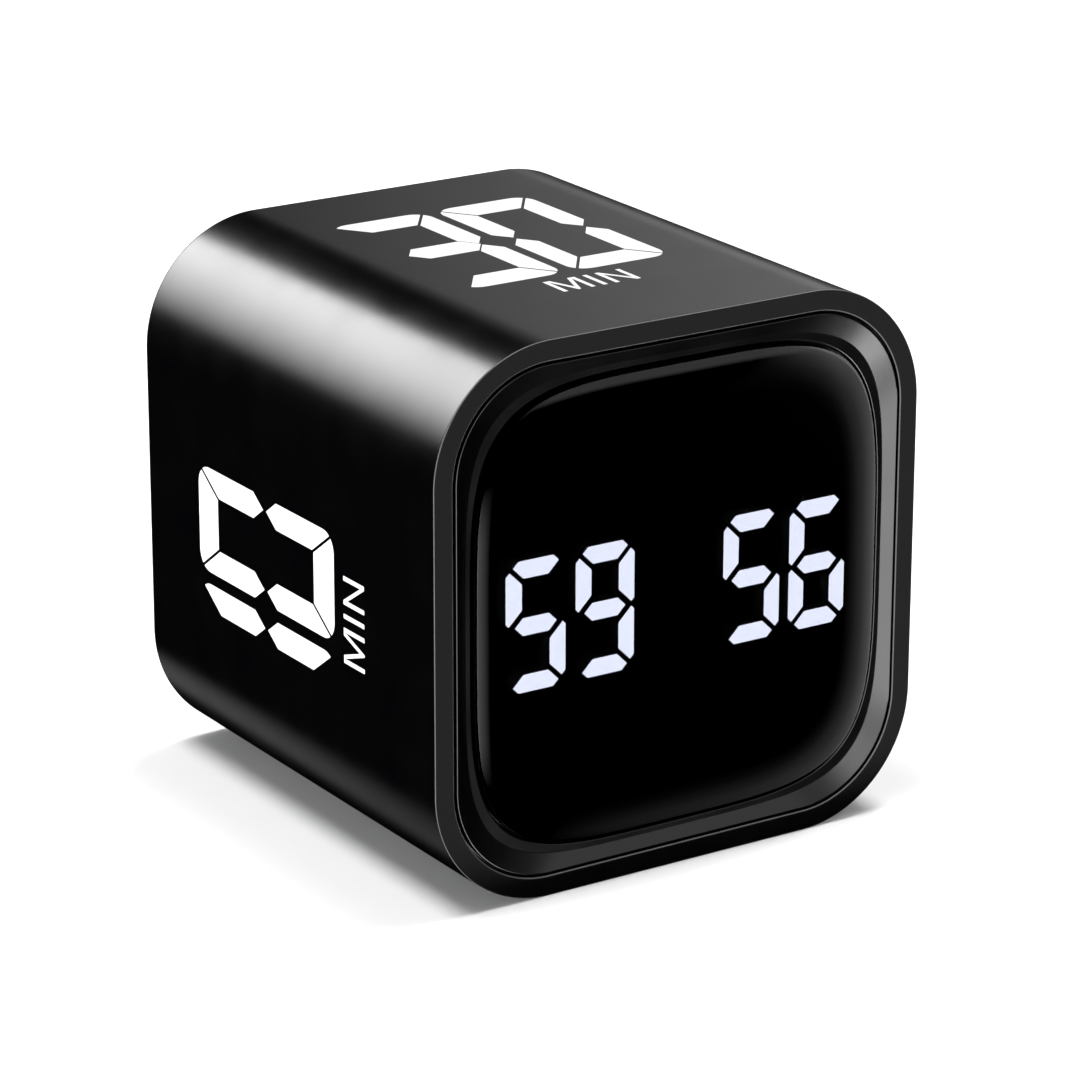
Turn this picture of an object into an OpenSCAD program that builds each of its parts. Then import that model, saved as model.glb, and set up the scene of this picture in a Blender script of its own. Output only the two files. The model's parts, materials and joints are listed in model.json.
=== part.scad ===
// Flip timer: a black cube with large rounded long edges. Turning it onto a side starts a countdown.
// The display faces -Y, +Z is up, and the origin is at the middle of the underside.

/* [Case] */
// Width and height of the case
case_w = 60; // [54:0.5:80]
// Depth of the case, from the front rim to the rear rim
case_d = 59.75; // [52:0.25:80]
// Radius of the four long edges
case_corner_r = 13.8; // [12:0.1:15]
// Wall of the case, which is also the width of the front rim
case_wall = 2.1; // [1.6:0.1:2.4]
// Rounding of the front edge
front_edge_r = 0.25; // [0.1:0.05:0.4]
// Rounding of the rear edge
rear_edge_r = 1; // [0.4:0.1:1.4]
// How far the bezel's shelf stands in from the case wall
shelf_w = 1.2; // [0.8:0.1:1.6]
// Thickness of that shelf
shelf_t = 2; // [1.2:0.1:3]
// Diameter of the bosses for the cover screws
boss_d = 6; // [5:0.1:6.4]
// Length of those bosses
boss_l = 14; // [10:0.5:18]

/* [Front bezel] */
// Width of the parting groove between the rim and the bezel
groove_w = 0.55; // [0.3:0.05:0.8]
// Depth of the parting groove
groove_depth = 1.2; // [0.8:0.1:1.6]
// Width of the sloped face
slope_w = 1.35; // [0.8:0.05:1.8]
// How far the sloped face drops
slope_drop = 0.54; // [0.3:0.02:0.8]
// Corner radius of the slope's inner edge
slope_r = 12.1; // [11:0.1:13.5]
// Width of the flat ledge inside the slope
ledge_w = 0.6; // [0.4:0.05:1]
// Depth of the bezel from the rim to the shelf
bezel_depth = 8; // [7.6:0.1:10]
// Wall of the bezel's skirt
skirt_wall = 1.8; // [1.4:0.1:2.2]
// Thickness of the seat that carries the lens
seat_t = 2; // [1.4:0.1:2.4]
// Width of the four snap hooks
hook_w = 8; // [5:0.5:12]
// Diameter of the posts for the display board
post_d = 5; // [4.2:0.1:5.4]

/* [Lens] */
// Gap between the lens and the bezel
lens_gap = 0.3; // [0.2:0.05:0.5]
// Corner radius of the lens
lens_corner_r = 12.6; // [11:0.1:14]
// How far the lens stands in front of the rim
lens_proud = 0.25; // [0:0.05:0.6]
// Height of the crown above the edge of the lens
lens_crown = 0.4; // [0.2:0.05:0.8]
// Width of the crowned shoulder
shoulder_w = 4.6; // [3:0.1:6]
// Thickness of the lens over the display
lens_t = 1.2; // [0.9:0.05:1.5]
// Depth of the lens skirt behind the crown's edge
lens_skirt = 1.85; // [1.5:0.05:2.2]
// Width of the lens skirt
lens_skirt_w = 2.2; // [1.6:0.1:2.4]
// Thickness of the tape under the lens skirt
tape_t = 0.15; // [0.1:0.01:0.3]

/* [Display] */
// Width of a digit
digit_w = 7.2; // [6:0.1:8.4]
// Height of a digit
digit_h = 14.2; // [11:0.1:18]
// Width of a segment
stroke = 1.92; // [1.6:0.02:2.4]
// Gap between the two digits of a pair
digit_gap = 1.22; // [0.6:0.01:2]
// Gap between neighbouring segments
segment_gap = 0.55; // [0.3:0.05:0.7]
// Cut across a digit's outer corner
corner_cut = 1.5; // [0.8:0.1:2]
// How far the level segments reach past the middle of that cut
level_reach = 0.1; // [0:0.02:0.2]
// Border of the digit housing around the digits
digit_border = 1.1; // [0.6:0.1:1.5]

/* [Rear] */
// How far the rear cover lies inside the rear rim
cover_recess = 1; // [0.8:0.1:2]
// Thickness of the rear cover
cover_t = 2; // [1.8:0.1:2.6]
// Gap between the rear cover and the case
cover_gap = 0.3; // [0.2:0.05:0.5]
// Thickness of the battery door
door_t = 1.4; // [1.2:0.1:1.7]
// Width of the cover above and below the battery door
door_rim = 2.1; // [1.8:0.1:4]
// Gap around the battery door
door_gap = 0.15; // [0.1:0.05:0.25]
// Wall of the battery bay
bay_wall = 1.2; // [0.8:0.1:1.4]
// Width of the door's spring latch tab
latch_w = 12; // [8:0.5:16]

/* [Controls] */
// Diameter of a button cap
button_d = 6; // [4:0.1:6.2]
// Distance between neighbouring buttons
button_pitch = 8.2; // [8:0.1:9]
// How far a button stands out of the cover
button_proud = 0.6; // [0.4:0.05:0.7]
// Travel of a button
button_travel = 0.35; // [0.2:0.05:0.4]
// Travel of the sound switch to each side of its middle position
knob_travel = 2; // [1:0.1:2.4]
// Length of the sound switch's knob
knob_l = 4; // [3:0.1:5]
// Diameter of a sound hole
sound_hole_d = 1.2; // [0.8:0.1:1.4]

/* [Tilt switches] */
// Outer diameter of a tilt switch can
can_d = 5; // [4.4:0.1:6]
// Length of a tilt switch can
can_l = 12; // [9:0.5:13]
// Diameter of the ball
ball_d = 3.2; // [2.4:0.1:3.4]

/* [Hidden] */

$fn = 64;
// Finest overlap used to join two shapes of one piece
join = 0.4;
// Overshoot of a cut past a face
past = 1;

// Colours
shell_black = "#141416";
lens_black = "#050506";
board_green = "#1d4a33";
white_glow = "#eaefff";
dark_grey = "#2b2c30";
steel = "#b9bcc0";
brass = "#b8923f";

// Main planes: the front rim, the rear rim and the height of the axis
front_y = (lens_proud - case_d) / 2;
rear_y = front_y + case_d;
mid_z = case_w / 2;
case_half = case_w / 2;
inner_half = case_half - case_wall;
inner_r = case_corner_r - case_wall;
// Centre of each long edge's rounding, measured from the axis
corner_at = case_half - case_corner_r;

// Bezel, as half sizes and radii of its rounded squares
bezel_fit = 0.1;
face_half = inner_half - groove_w;
face_r = inner_r - groove_w;
skirt_half = inner_half - bezel_fit;
skirt_r = inner_r - bezel_fit;
skirt_in_half = skirt_half - skirt_wall;
skirt_in_r = skirt_r - skirt_wall;
slope_half = face_half - slope_w;
opening_half = slope_half - ledge_w;
lens_half = opening_half - lens_gap;
opening_r = lens_corner_r + lens_gap;
lens_edge_y = front_y + lens_crown - lens_proud;
lens_back_y = lens_edge_y + lens_skirt;
seat_y = lens_back_y + tape_t;
seat_back_y = seat_y + seat_t;
shelf_y = front_y + bezel_depth;
pocket_half = lens_half - lens_skirt_w;
pocket_r = lens_corner_r - lens_skirt_w;
pocket_y = front_y - lens_proud + lens_t;
window_gap = 0.3;
window_half = pocket_half - window_gap;
window_r = pocket_r - window_gap;
shelf_half = inner_half - shelf_w;
hook_gap = 0.15;
hook_t = 1.15;
hook_out = shelf_half - hook_gap;
hook_in = hook_out - hook_t;
barb_w = 0.75;
barb_l = 1.8;
hook_end_y = shelf_y + shelf_t + hook_gap + barb_l;
hook_root = 1.5;
post_bite = 0.1;
post_at = corner_at + (skirt_in_r - post_d / 2 + post_bite) * sqrt(0.5);

// Display stack, front to back
light_gap = 0.05;
housing_y = pocket_y + light_gap;
board_inset = 1;
board_y = shelf_y - board_inset;
board_t = 1.6;
board_back_y = board_y + board_t;
board_clear = 1.8;
board_half = hook_in - board_clear;
board_r = 4;
housing_clear = 0.3;
housing_border = 1.8;
housing_half_w = window_half - housing_clear;
housing_half_h = digit_h / 2 + housing_border;
digit_pitch = digit_w + digit_gap;
outer_digit_x = housing_half_w - digit_border - digit_w / 2;
digit_x = [-outer_digit_x, digit_pitch - outer_digit_x, outer_digit_x - digit_pitch, outer_digit_x];
// Segments of each digit shown, in the usual order: top, upper right, lower right, bottom, lower left,
// upper left, middle
shown = ["1011011", "1111011", "1011011", "1011111"];
segment_count = 7;
mitre = segment_gap / sqrt(2);
middle_rise = 0.25;
middle_cut = 0.35;
middle_tip = 0.12;
led_l = 1.6;
led_w = 0.8;
led_h = 0.6;
led_gap = 0.3;

// Screws: pan head, for the boards and for the cover
screw_d = 2;
screw_fit = 0.05;
board_screw_l = 5;
board_head_d = 3.6;
board_head_h = 1.3;
cover_screw_l = 9;
cover_head_d = 4;
cover_head_h = 1.4;
head_gap = 0.2;
slot_w = 0.5;
slot_share = 0.65;
slot_depth = 0.7;
pilot_spare = 0.5;

// Cells: two of the AAA size, which stand side by side
cell_d = 10.5;
cell_l = 44.5;
nub_d = 3.8;
nub_l = 0.9;
cell_pitch = 12;
cell_clear = 0.35;
lip_clear = 0.2;
floor_clear = 0.1;
plate_t = 0.3;
plate_w = 8;
touch = 0.05;
wire_d = 0.5;
spring_base_d = 7.6;
spring_tip_d = 3.2;
spring_turns = 3;

// Rear cover and battery bay
cover_y = rear_y - cover_recess;
cover_in_y = cover_y - cover_t;
cover_half = inner_half - cover_gap;
cover_r = inner_r - cover_gap;
boss_bite = 0.2;
boss_at = corner_at + (inner_r - boss_d / 2 + boss_bite) * sqrt(0.5);
boss_y = cover_in_y - boss_l;
bore_d = cover_head_d + 2 * head_gap;
bore_depth = 1.1;
bay_room = 0.5;
bay_half_w = (cell_pitch + cell_d) / 2 + cell_clear;
bay_half_h = inner_half - bay_room - bay_wall;
door_in_y = cover_y - door_t;
cell_y = cover_in_y - lip_clear - cell_d / 2;
bay_floor_y = cell_y - cell_d / 2 - floor_clear;
door_land = 0.75;
door_half_w = bay_half_w + door_land;
door_half_h = cover_half - door_rim - door_gap;
rebate_half_w = door_half_w + door_gap;
rebate_half_h = door_half_h + door_gap;
mouth_half_h = door_half_h - door_land;
hinge_y = door_in_y + door_t / 2;
hinge_z = mid_z - door_half_h + door_t / 2;
tongue_w = 3;
tongue_t = 1;
tongue_reach = 1.2;
tongue_y = cover_in_y - door_gap;
tongue_rise = 2.4;
tongue_top_z = hinge_z + tongue_rise;
tongue_low_z = hinge_z - door_t / 2 - tongue_reach;
notch_side = 0.4;
notch_low_z = tongue_low_z - notch_side;
notch_depth = 2.6;
rib_w = 1.6;
rib_h = 2.2;
rib_half_l = 15;
slit_w = 0.8;
slit_l = 7;
grip_count = 3;
grip_w = 0.6;
grip_h = 0.3;
grip_pitch = 1.4;
scoop_r = 4;
scoop_reach = 1.4;
scoop_depth = 0.9;

// Control strips left and right of the bay
strip_x = (bay_half_w + bay_wall + cover_half) / 2;
button_gap = 0.2;
flange_w = 0.8;
flange_t = 1;
stem_d = 2.6;
stem_l = 0.95;
rest_gap = 0.05;
cap_edge_r = 0.5;
plunger_d = 2.2;
plunger_out = 0.6;
plunger_in = 0.7;
plunger_gap = 0.1;
tact_w = 4.5;
tact_h = 1.9;
flange_y = cover_in_y - rest_gap - flange_t;
plunger_y = flange_y - stem_l;
tact_y = plunger_y - plunger_out;
strip_y = tact_y - tact_h;
strip_t = 1.2;
strip_half_w = 3.6;
strip_post_d = 4;
strip_clear = 0.4;
strip_end = 1.8;
knob_z = 3.4;
knob_w = 2.8;
knob_gap = 0.2;
knob_proud = 0.6;
shutter_t = 0.7;
shutter_y = cover_in_y - knob_gap - shutter_t;
shutter_side = 1.1;
shutter_end = 0.5;
shutter_half_l = knob_l / 2 + 2 * knob_travel + knob_gap + shutter_end;
slider_gap = 0.15;
switch_w = 4;
switch_wall = 0.8;
switch_h = 3.2;
foot_h = 0.9;
foot_l = 3;
foot_w = switch_w - 2 * switch_wall - 2 * slider_gap;
stem_w = 1.5;
switch_floor = 1.2;
switch_l = foot_l + 2 * knob_travel + 2 * slider_gap + 2 * switch_wall;
buzzer_z = 8.4;
buzzer_d = 7.2;
buzzer_h = 3.2;
buzzer_hole_d = 1.5;
sound_ring_r = 2.1;
sound_ring_count = 6;
// The strip boards' posts clear the buttons, the sound switch and the buzzer
strip_post_z = strip_clear + strip_post_d / 2 + max(button_pitch + button_d / 2 + flange_w,
    knob_z + shutter_half_l + knob_travel, buzzer_z + buzzer_d / 2);
strip_half_h = strip_post_z + strip_end;

// Tilt switches, on the back of the display board
can_wall = 0.5;
can_gap = 0.1;
can_x = 9.5;
can_z = 12;
can_y = board_back_y + can_gap + can_d / 2;
can_tilt = 45;
ball_stop = 0.15;
ball_rest = can_l / 2 - can_wall - ball_d / 2 - ball_stop;

// Controller chip, also on the back of the display board
chip_w = 10;
chip_h = 4;
chip_t = 1.6;
chip_z = -11;
lead_count = 8;
lead_pitch = 1.27;
lead_w = 0.4;
lead_out = 1;
lead_t = 0.2;

// Ribbon cables from the display board to the two strip boards
ribbon_w = 6;
ribbon_t = 0.5;
ribbon_x = 18.5;
ribbon_steps = 16;
socket_w = 2.4;
socket_l = 7.4;
socket_h = 2;

// Battery leads, from the bay floor's tabs to their socket on the display board
lead_d = 1.3;
lead_sides = 8;
lead_steps = 10;
lead_gap = 0.3;
tab_w = 3;
tab_l = 1.4;
tab_x = cell_pitch / 2;
tab_gap = 0.2;
tab_y = bay_floor_y - bay_wall - tab_l;
tab_z = bay_half_h - plate_t / 2;
lead_socket_w = 6;
lead_socket_h = 4.5;
lead_socket_inset = 1.35;
lead_z = board_half - lead_socket_inset - lead_socket_h / 2;
pin_x = 1.5;

// Two-dimensional outlines, drawn with x to the right and y up
module rounded_rect(half_w, half_h, r) {
    square([2 * half_w, 2 * (half_h - r)], center = true);
    square([2 * (half_w - r), 2 * half_h], center = true);
    for (side = [-1, 1], end = [-1, 1]) {
        translate([side * (half_w - r), end * (half_h - r)]) circle(r = r);
    }
}

module rounded_square(half, r) {
    rounded_rect(half, half, r);
}

// An outline carried from one depth to another
module along_y(from_y, to_y) {
    translate([0, to_y, mid_z]) rotate([90, 0, 0]) linear_extrude(to_y - from_y) children();
}

// A round bar along the depth, on the point x, z above the axis
module bar_y(d, from_y, to_y, x = 0, z = 0) {
    translate([x, from_y, mid_z + z]) rotate([-90, 0, 0]) cylinder(d = d, h = to_y - from_y);
}

// A box between two corners, with heights measured from the axis
module box(low, high) {
    translate([low[0], low[1], mid_z + low[2]]) cube(high - low);
}

// A wall profile, x outwards from the outline and y along the depth, carried round a rounded square
module square_sweep(half, r) {
    straight = 2 * (half - r);
    for (turn = [0 : 3]) rotate([0, 0, 90 * turn]) {
        translate([half - r, half - r, 0]) rotate_extrude(angle = 90) translate([r, 0]) children();
        translate([half, half - r, 0]) rotate([90, 0, 0]) linear_extrude(straight) children();
    }
}

module at_corners(offset) {
    for (side = [-1, 1], end = [-1, 1]) translate([side * offset, 0, end * offset]) children();
}

// Tubes along a list of points that never run along the direction aside
function unit(v) = v / norm(v);
function heading(path, i) = unit(path[min(i + 1, len(path) - 1)] - path[max(i - 1, 0)]);
function ring(path, i, r, sides, aside) =
    let (ahead = heading(path, i), across = unit(cross(ahead, aside)), over = cross(across, ahead))
    [for (k = [0 : sides - 1]) path[i] + r * (cos(360 * k / sides) * across + sin(360 * k / sides) * over)];

module tube(path, d, sides, aside) {
    rings = len(path);
    points = [for (i = [0 : rings - 1]) each ring(path, i, d / 2, sides, aside)];
    walls = [for (i = [0 : rings - 2], k = [0 : sides - 1])
        let (a = i * sides + k, b = i * sides + (k + 1) % sides)
        each [[a, b, a + sides], [b, b + sides, a + sides]]];
    last = (rings - 1) * sides;
    caps = [for (k = [1 : sides - 2]) each [[0, k + 1, k], [last, last + k, last + k + 1]]];
    polyhedron(points, concat(walls, caps));
}

// A pan-head screw along the depth: its head lies behind the seat, its point towards the front
module screw(head_d, head_h, shank_l, seat, x, z) {
    cross_l = head_d * slot_share;
    difference() {
        union() {
            bar_y(head_d, seat, seat + head_h, x, z);
            bar_y(screw_d, seat - shank_l, seat + join, x, z);
        }
        for (turn = [0, 90]) translate([x, seat + head_h - slot_depth, mid_z + z]) rotate([0, turn, 0])
            translate([-cross_l / 2, 0, -slot_w / 2]) cube([cross_l, slot_depth + past, slot_w]);
    }
}

// Case
module wall_profile() {
    translate([-case_wall, 0]) square([case_wall - rear_edge_r, case_d]);
    translate([-case_wall, 0]) square([case_wall - front_edge_r, case_d / 2]);
    translate([-case_wall, front_edge_r]) square([case_wall, case_d - front_edge_r - rear_edge_r]);
    translate([-front_edge_r, front_edge_r]) circle(r = front_edge_r);
    translate([-rear_edge_r, case_d - rear_edge_r]) circle(r = rear_edge_r);
}

module case_sleeve() {
    color(shell_black) difference() {
        union() {
            translate([0, front_y, mid_z]) rotate([-90, 0, 0]) square_sweep(case_half, case_corner_r)
                wall_profile();
            along_y(shelf_y, shelf_y + shelf_t) difference() {
                rounded_square(inner_half + join, inner_r + join);
                rounded_square(shelf_half, inner_r - shelf_w);
            }
            at_corners(boss_at) bar_y(boss_d, boss_y, cover_in_y);
        }
        at_corners(boss_at) bar_y(screw_d + 2 * screw_fit, cover_in_y - cover_screw_l - pilot_spare,
            cover_in_y + past);
    }
}

// Front bezel: the sloped frame, its skirt, the lens seat, the board posts and the snap hooks
module slope_cut() {
    hull() {
        along_y(front_y - past, front_y) rounded_square(face_half, face_r);
        along_y(front_y, front_y + slope_drop) rounded_square(slope_half, slope_r);
    }
}

module snap_hook() {
    translate([-hook_w / 2, 0, mid_z]) rotate([90, 0, 90]) linear_extrude(hook_w) polygon([
        [shelf_y - hook_root, hook_in], [hook_end_y, hook_in], [hook_end_y, hook_out],
        [hook_end_y - barb_l, hook_out + barb_w], [hook_end_y - barb_l, hook_out],
        [shelf_y - hook_root, hook_out]]);
}

module front_bezel() {
    color(shell_black) difference() {
        union() {
            difference() {
                union() {
                    along_y(front_y, front_y + groove_depth + join) rounded_square(face_half, face_r);
                    along_y(front_y + groove_depth, shelf_y) rounded_square(skirt_half, skirt_r);
                }
                slope_cut();
                along_y(front_y - past, seat_y) rounded_square(opening_half, opening_r);
                along_y(front_y - past, shelf_y + past) rounded_square(window_half, window_r);
                along_y(seat_back_y, shelf_y + past) rounded_square(skirt_in_half, skirt_in_r);
            }
            at_corners(post_at) bar_y(post_d, seat_back_y - join, board_y);
            for (turn = [0 : 3]) translate([0, 0, mid_z]) rotate([0, 90 * turn, 0]) translate([0, 0, -mid_z])
                snap_hook();
        }
        at_corners(post_at) bar_y(screw_d + 2 * screw_fit, board_back_y - board_screw_l - pilot_spare,
            board_y + past);
    }
}

// Lens: a crowned plate with a skirt, hollow behind
module lens_crown_shape() {
    steps = 6;
    slice = 0.01;
    hull() {
        along_y(lens_edge_y, lens_edge_y + join) rounded_square(lens_half, lens_corner_r);
        for (i = [1 : steps]) {
            share = i / steps;
            slice_y = lens_edge_y - lens_crown * (1 - pow(1 - share, 2));
            along_y(slice_y, slice_y + slice)
                rounded_square(lens_half - shoulder_w * share, lens_corner_r - shoulder_w * share);
        }
    }
}

module lens() {
    color(lens_black) difference() {
        union() {
            lens_crown_shape();
            along_y(lens_edge_y + join / 2, lens_back_y) rounded_square(lens_half, lens_corner_r);
        }
        along_y(pocket_y, lens_back_y + past) rounded_square(pocket_half, pocket_r);
    }
}

module lens_tape() {
    color(dark_grey) along_y(lens_back_y, seat_y) difference() {
        rounded_square(lens_half, lens_corner_r);
        rounded_square(pocket_half, pocket_r);
    }
}

// Display: outlines of the seven segments of one digit about its middle
half_dw = digit_w / 2;
half_dh = digit_h / 2;

function flip_x(points) = [for (p = points) [-p[0], p[1]]];
function flip_z(points) = [for (p = points) [p[0], -p[1]]];
function top_half() = [[half_dw - corner_cut, half_dh],
    [half_dw - (corner_cut + mitre) / 2 + level_reach, half_dh - (corner_cut - mitre) / 2 - level_reach],
    [half_dw - stroke - mitre + 2 * level_reach, half_dh - stroke]];
function reversed(points) = [for (i = [len(points) - 1 : -1 : 0]) points[i]];
function top_bar() = concat(top_half(), reversed(flip_x(top_half())));
function middle_half() = [[half_dw - stroke - middle_tip, stroke / 2], [half_dw - stroke / 2 - middle_tip, 0],
    [half_dw - stroke - middle_tip, -stroke / 2]];
function middle_bar() = concat(middle_half(), reversed(flip_x(middle_half())));
function right_bar() = [[half_dw, half_dh - corner_cut],
    [half_dw - (corner_cut - mitre) / 2 + level_reach, half_dh - (corner_cut + mitre) / 2 - level_reach],
    [half_dw - stroke, half_dh - stroke - mitre - 2 * level_reach],
    [half_dw - stroke, middle_rise + stroke - middle_cut],
    [half_dw - middle_cut, middle_rise],
    [half_dw, middle_rise + middle_cut]];
segments = [top_bar(), right_bar(), flip_z(right_bar()), flip_z(top_bar()), flip_x(flip_z(right_bar())),
    flip_x(right_bar()), middle_bar()];
// Middles of the segments, and whether each lies flat
upright_x = half_dw - stroke / 2;
upright_z = half_dh / 2;
flat_z = half_dh - stroke / 2;
segment_at = [[0, flat_z], [upright_x, upright_z], [upright_x, -upright_z], [0, -flat_z],
    [-upright_x, -upright_z], [-upright_x, upright_z], [0, 0]];
segment_flat = [true, false, false, true, false, false, true];

module segment_set(state) {
    for (digit = [0 : len(shown) - 1], s = [0 : segment_count - 1]) {
        if (shown[digit][s] == state) translate([digit_x[digit], 0]) polygon(segments[s]);
    }
}

module digit_housing() {
    color(shell_black) along_y(housing_y, board_y) difference() {
        square([2 * housing_half_w, 2 * housing_half_h], center = true);
        segment_set("0");
        segment_set("1");
    }
}

module lit_segments() {
    color(white_glow) along_y(housing_y, board_y - led_h - led_gap) segment_set("1");
}

module dark_segments() {
    color(dark_grey) along_y(housing_y, board_y - led_h - led_gap) segment_set("0");
}

module led_chips() {
    color("#f0e8c0") along_y(board_y - led_h, board_y)
        for (x = digit_x, s = [0 : segment_count - 1]) translate([x, 0] + segment_at[s])
            square(segment_flat[s] ? [led_l, led_w] : [led_w, led_l], center = true);
}

module display_board() {
    color(board_green) difference() {
        along_y(board_y, board_back_y) rounded_square(board_half, board_r);
        at_corners(post_at) bar_y(screw_d + 2 * head_gap, board_y - past, board_back_y + past);
    }
}

module controller_chip() {
    lead_reach = chip_h / 2 + lead_out;
    color(dark_grey) box([-chip_w / 2, board_back_y + lead_t, chip_z - chip_h / 2],
        [chip_w / 2, board_back_y + chip_t, chip_z + chip_h / 2]);
    color(steel) for (i = [0 : lead_count - 1]) {
        x = (i - (lead_count - 1) / 2) * lead_pitch;
        box([x - lead_w / 2, board_back_y, chip_z - lead_reach],
            [x + lead_w / 2, board_back_y + 2 * lead_t, chip_z + lead_reach]);
    }
}

// Tilt switches: a can and its ball, leaning to the left or to the right
module leaning(side) {
    translate([side * can_x, can_y, mid_z + can_z]) rotate([0, side * can_tilt, 0]) children();
}

module tilt_can(side) {
    color(steel) leaning(side) difference() {
        translate([0, 0, -can_l / 2]) cylinder(d = can_d, h = can_l);
        translate([0, 0, can_wall - can_l / 2]) cylinder(d = can_d - 2 * can_wall, h = can_l - 2 * can_wall);
    }
}

module tilt_ball(side) {
    color(brass) leaning(side) translate([0, 0, -ball_rest]) sphere(d = ball_d);
}

module left_tilt_can() { tilt_can(-1); }
module right_tilt_can() { tilt_can(1); }
module left_tilt_ball() { tilt_ball(-1); }
module right_tilt_ball() { tilt_ball(1); }

// The board screws hold the display board from behind and the two strip boards from the front
module board_screws() {
    color(steel) {
        for (side = [-1, 1], end = [-1, 1]) {
            screw(board_head_d, board_head_h, board_screw_l, board_back_y, side * post_at, end * post_at);
            translate([0, 2 * (strip_y - strip_t), 0]) mirror([0, 1, 0])
                screw(board_head_d, board_head_h, board_screw_l, strip_y - strip_t, side * strip_x,
                    end * strip_post_z);
        }
    }
}

// Rear cover: the plate, the battery bay and the posts of the strip boards
module tongue_notch() {
    half_w = tongue_w / 2 + notch_side;
    box([-half_w, cover_in_y - notch_depth, notch_low_z - mid_z], [half_w, cover_in_y, join - bay_half_h]);
    box([-half_w, cover_in_y - join, -rebate_half_h], [half_w, door_in_y + join, join - mouth_half_h]);
}

module sound_holes() {
    bar_y(sound_hole_d, cover_in_y - past, cover_y + past, -strip_x, -buzzer_z);
    for (i = [0 : sound_ring_count - 1]) {
        turn = 360 * i / sound_ring_count;
        bar_y(sound_hole_d, cover_in_y - past, cover_y + past, sound_ring_r * cos(turn) - strip_x,
            sound_ring_r * sin(turn) - buzzer_z);
    }
}

module rear_cover() {
    color(shell_black) difference() {
        union() {
            along_y(cover_in_y, cover_y) rounded_square(cover_half, cover_r);
            along_y(bay_floor_y - bay_wall, cover_in_y + join)
                square([2 * (bay_half_w + bay_wall), 2 * (bay_half_h + bay_wall)], center = true);
            for (side = [-1, 1], end = [-1, 1]) {
                bar_y(strip_post_d, strip_y, cover_in_y + join, side * strip_x, end * strip_post_z);
            }
        }
        difference() {
            along_y(bay_floor_y, cover_in_y) square([2 * bay_half_w, 2 * bay_half_h], center = true);
            box([-rib_w / 2, bay_floor_y - past, -rib_half_l], [rib_w / 2, bay_floor_y + rib_h, rib_half_l]);
        }
        along_y(cover_in_y - join, cover_y + past)
            square([2 * bay_half_w, 2 * mouth_half_h], center = true);
        along_y(door_in_y - rest_gap, cover_y + past)
            square([2 * rebate_half_w, 2 * rebate_half_h], center = true);
        bar_y(2 * scoop_r, cover_y - scoop_depth, cover_y + past, 0, rebate_half_h + scoop_reach - scoop_r);
        tongue_notch();
        at_corners(boss_at) bar_y(screw_d + 2 * head_gap, cover_in_y - past, cover_y + past);
        at_corners(boss_at) bar_y(bore_d, cover_y - bore_depth, cover_y + past);
        for (side = [-1, 1], end = [-1, 1]) {
            bar_y(screw_d + 2 * screw_fit, strip_y - past, strip_y - strip_t + board_screw_l + pilot_spare,
                side * strip_x, end * strip_post_z);
        }
        for (i = [-1 : 1]) {
            bar_y(button_d + 2 * button_gap, cover_in_y - past, cover_y + past, strip_x, i * button_pitch);
        }
        box([-strip_x - knob_w / 2 - knob_gap, cover_in_y - past,
            knob_z - knob_l / 2 - knob_travel - knob_gap],
            [knob_w / 2 + knob_gap - strip_x, cover_y + past, knob_z + knob_l / 2 + knob_travel + knob_gap]);
        sound_holes();
        for (side = [-1, 1]) {
            low_x = side * tab_x - tab_w / 2 - tab_gap;
            box([low_x, bay_floor_y - bay_wall - past, tab_z - plate_t / 2 - tab_gap],
                [low_x + tab_w + 2 * tab_gap, bay_floor_y + past, tab_z + plate_t / 2 + tab_gap]);
        }
    }
}

module cover_screws() {
    color(steel) for (side = [-1, 1], end = [-1, 1]) {
        screw(cover_head_d, cover_head_h, cover_screw_l, cover_y - bore_depth, side * boss_at, end * boss_at);
    }
}

// Battery door: a plate with a round lower edge, a tongue and a spring latch tab
module door_profile() {
    translate([door_in_y, hinge_z]) square([door_t, mid_z + door_half_h - hinge_z]);
    translate([hinge_y, hinge_z]) circle(d = door_t);
}

module battery_door() {
    top = door_half_h;
    color(shell_black) difference() {
        union() {
            translate([-door_half_w, 0, 0]) rotate([90, 0, 90]) linear_extrude(2 * door_half_w)
                door_profile();
            box([-tongue_w / 2, tongue_y - tongue_t, tongue_low_z - mid_z],
                [tongue_w / 2, tongue_y, tongue_top_z - mid_z]);
            box([-tongue_w / 2, tongue_y - join, hinge_z - mid_z],
                [tongue_w / 2, door_in_y + join, tongue_top_z - mid_z]);
            for (i = [1 : grip_count]) {
                box([-latch_w / 3, cover_y - join, top - (i + 1) * grip_pitch],
                    [latch_w / 3, cover_y + grip_h, top - (i + 1) * grip_pitch + grip_w]);
            }
        }
        for (side = [-1, 1]) {
            slit_x = side * (latch_w + slit_w) / 2;
            box([slit_x - slit_w / 2, door_in_y - past, top - slit_l],
                [slit_x + slit_w / 2, cover_y + past, top + past]);
        }
    }
}

// Cells and contacts: the left cell stands with its nub up, the right one with its nub down
module at_cells() {
    for (side = [-1, 1]) {
        turn = side < 0 ? 0 : 180;
        translate([side * cell_pitch / 2, cell_y, mid_z]) rotate([turn, 0, 0]) children();
    }
}

// End of a cell's nub, above or below the axis
nub_end = bay_half_h - plate_t - touch;

module battery_cells() {
    at_cells() {
        color("#3a3d42") translate([0, 0, nub_end - cell_l]) cylinder(d = cell_d, h = cell_l - nub_l);
        color(steel) translate([0, 0, nub_end - nub_l - join]) cylinder(d = nub_d, h = nub_l + join);
    }
}

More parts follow.
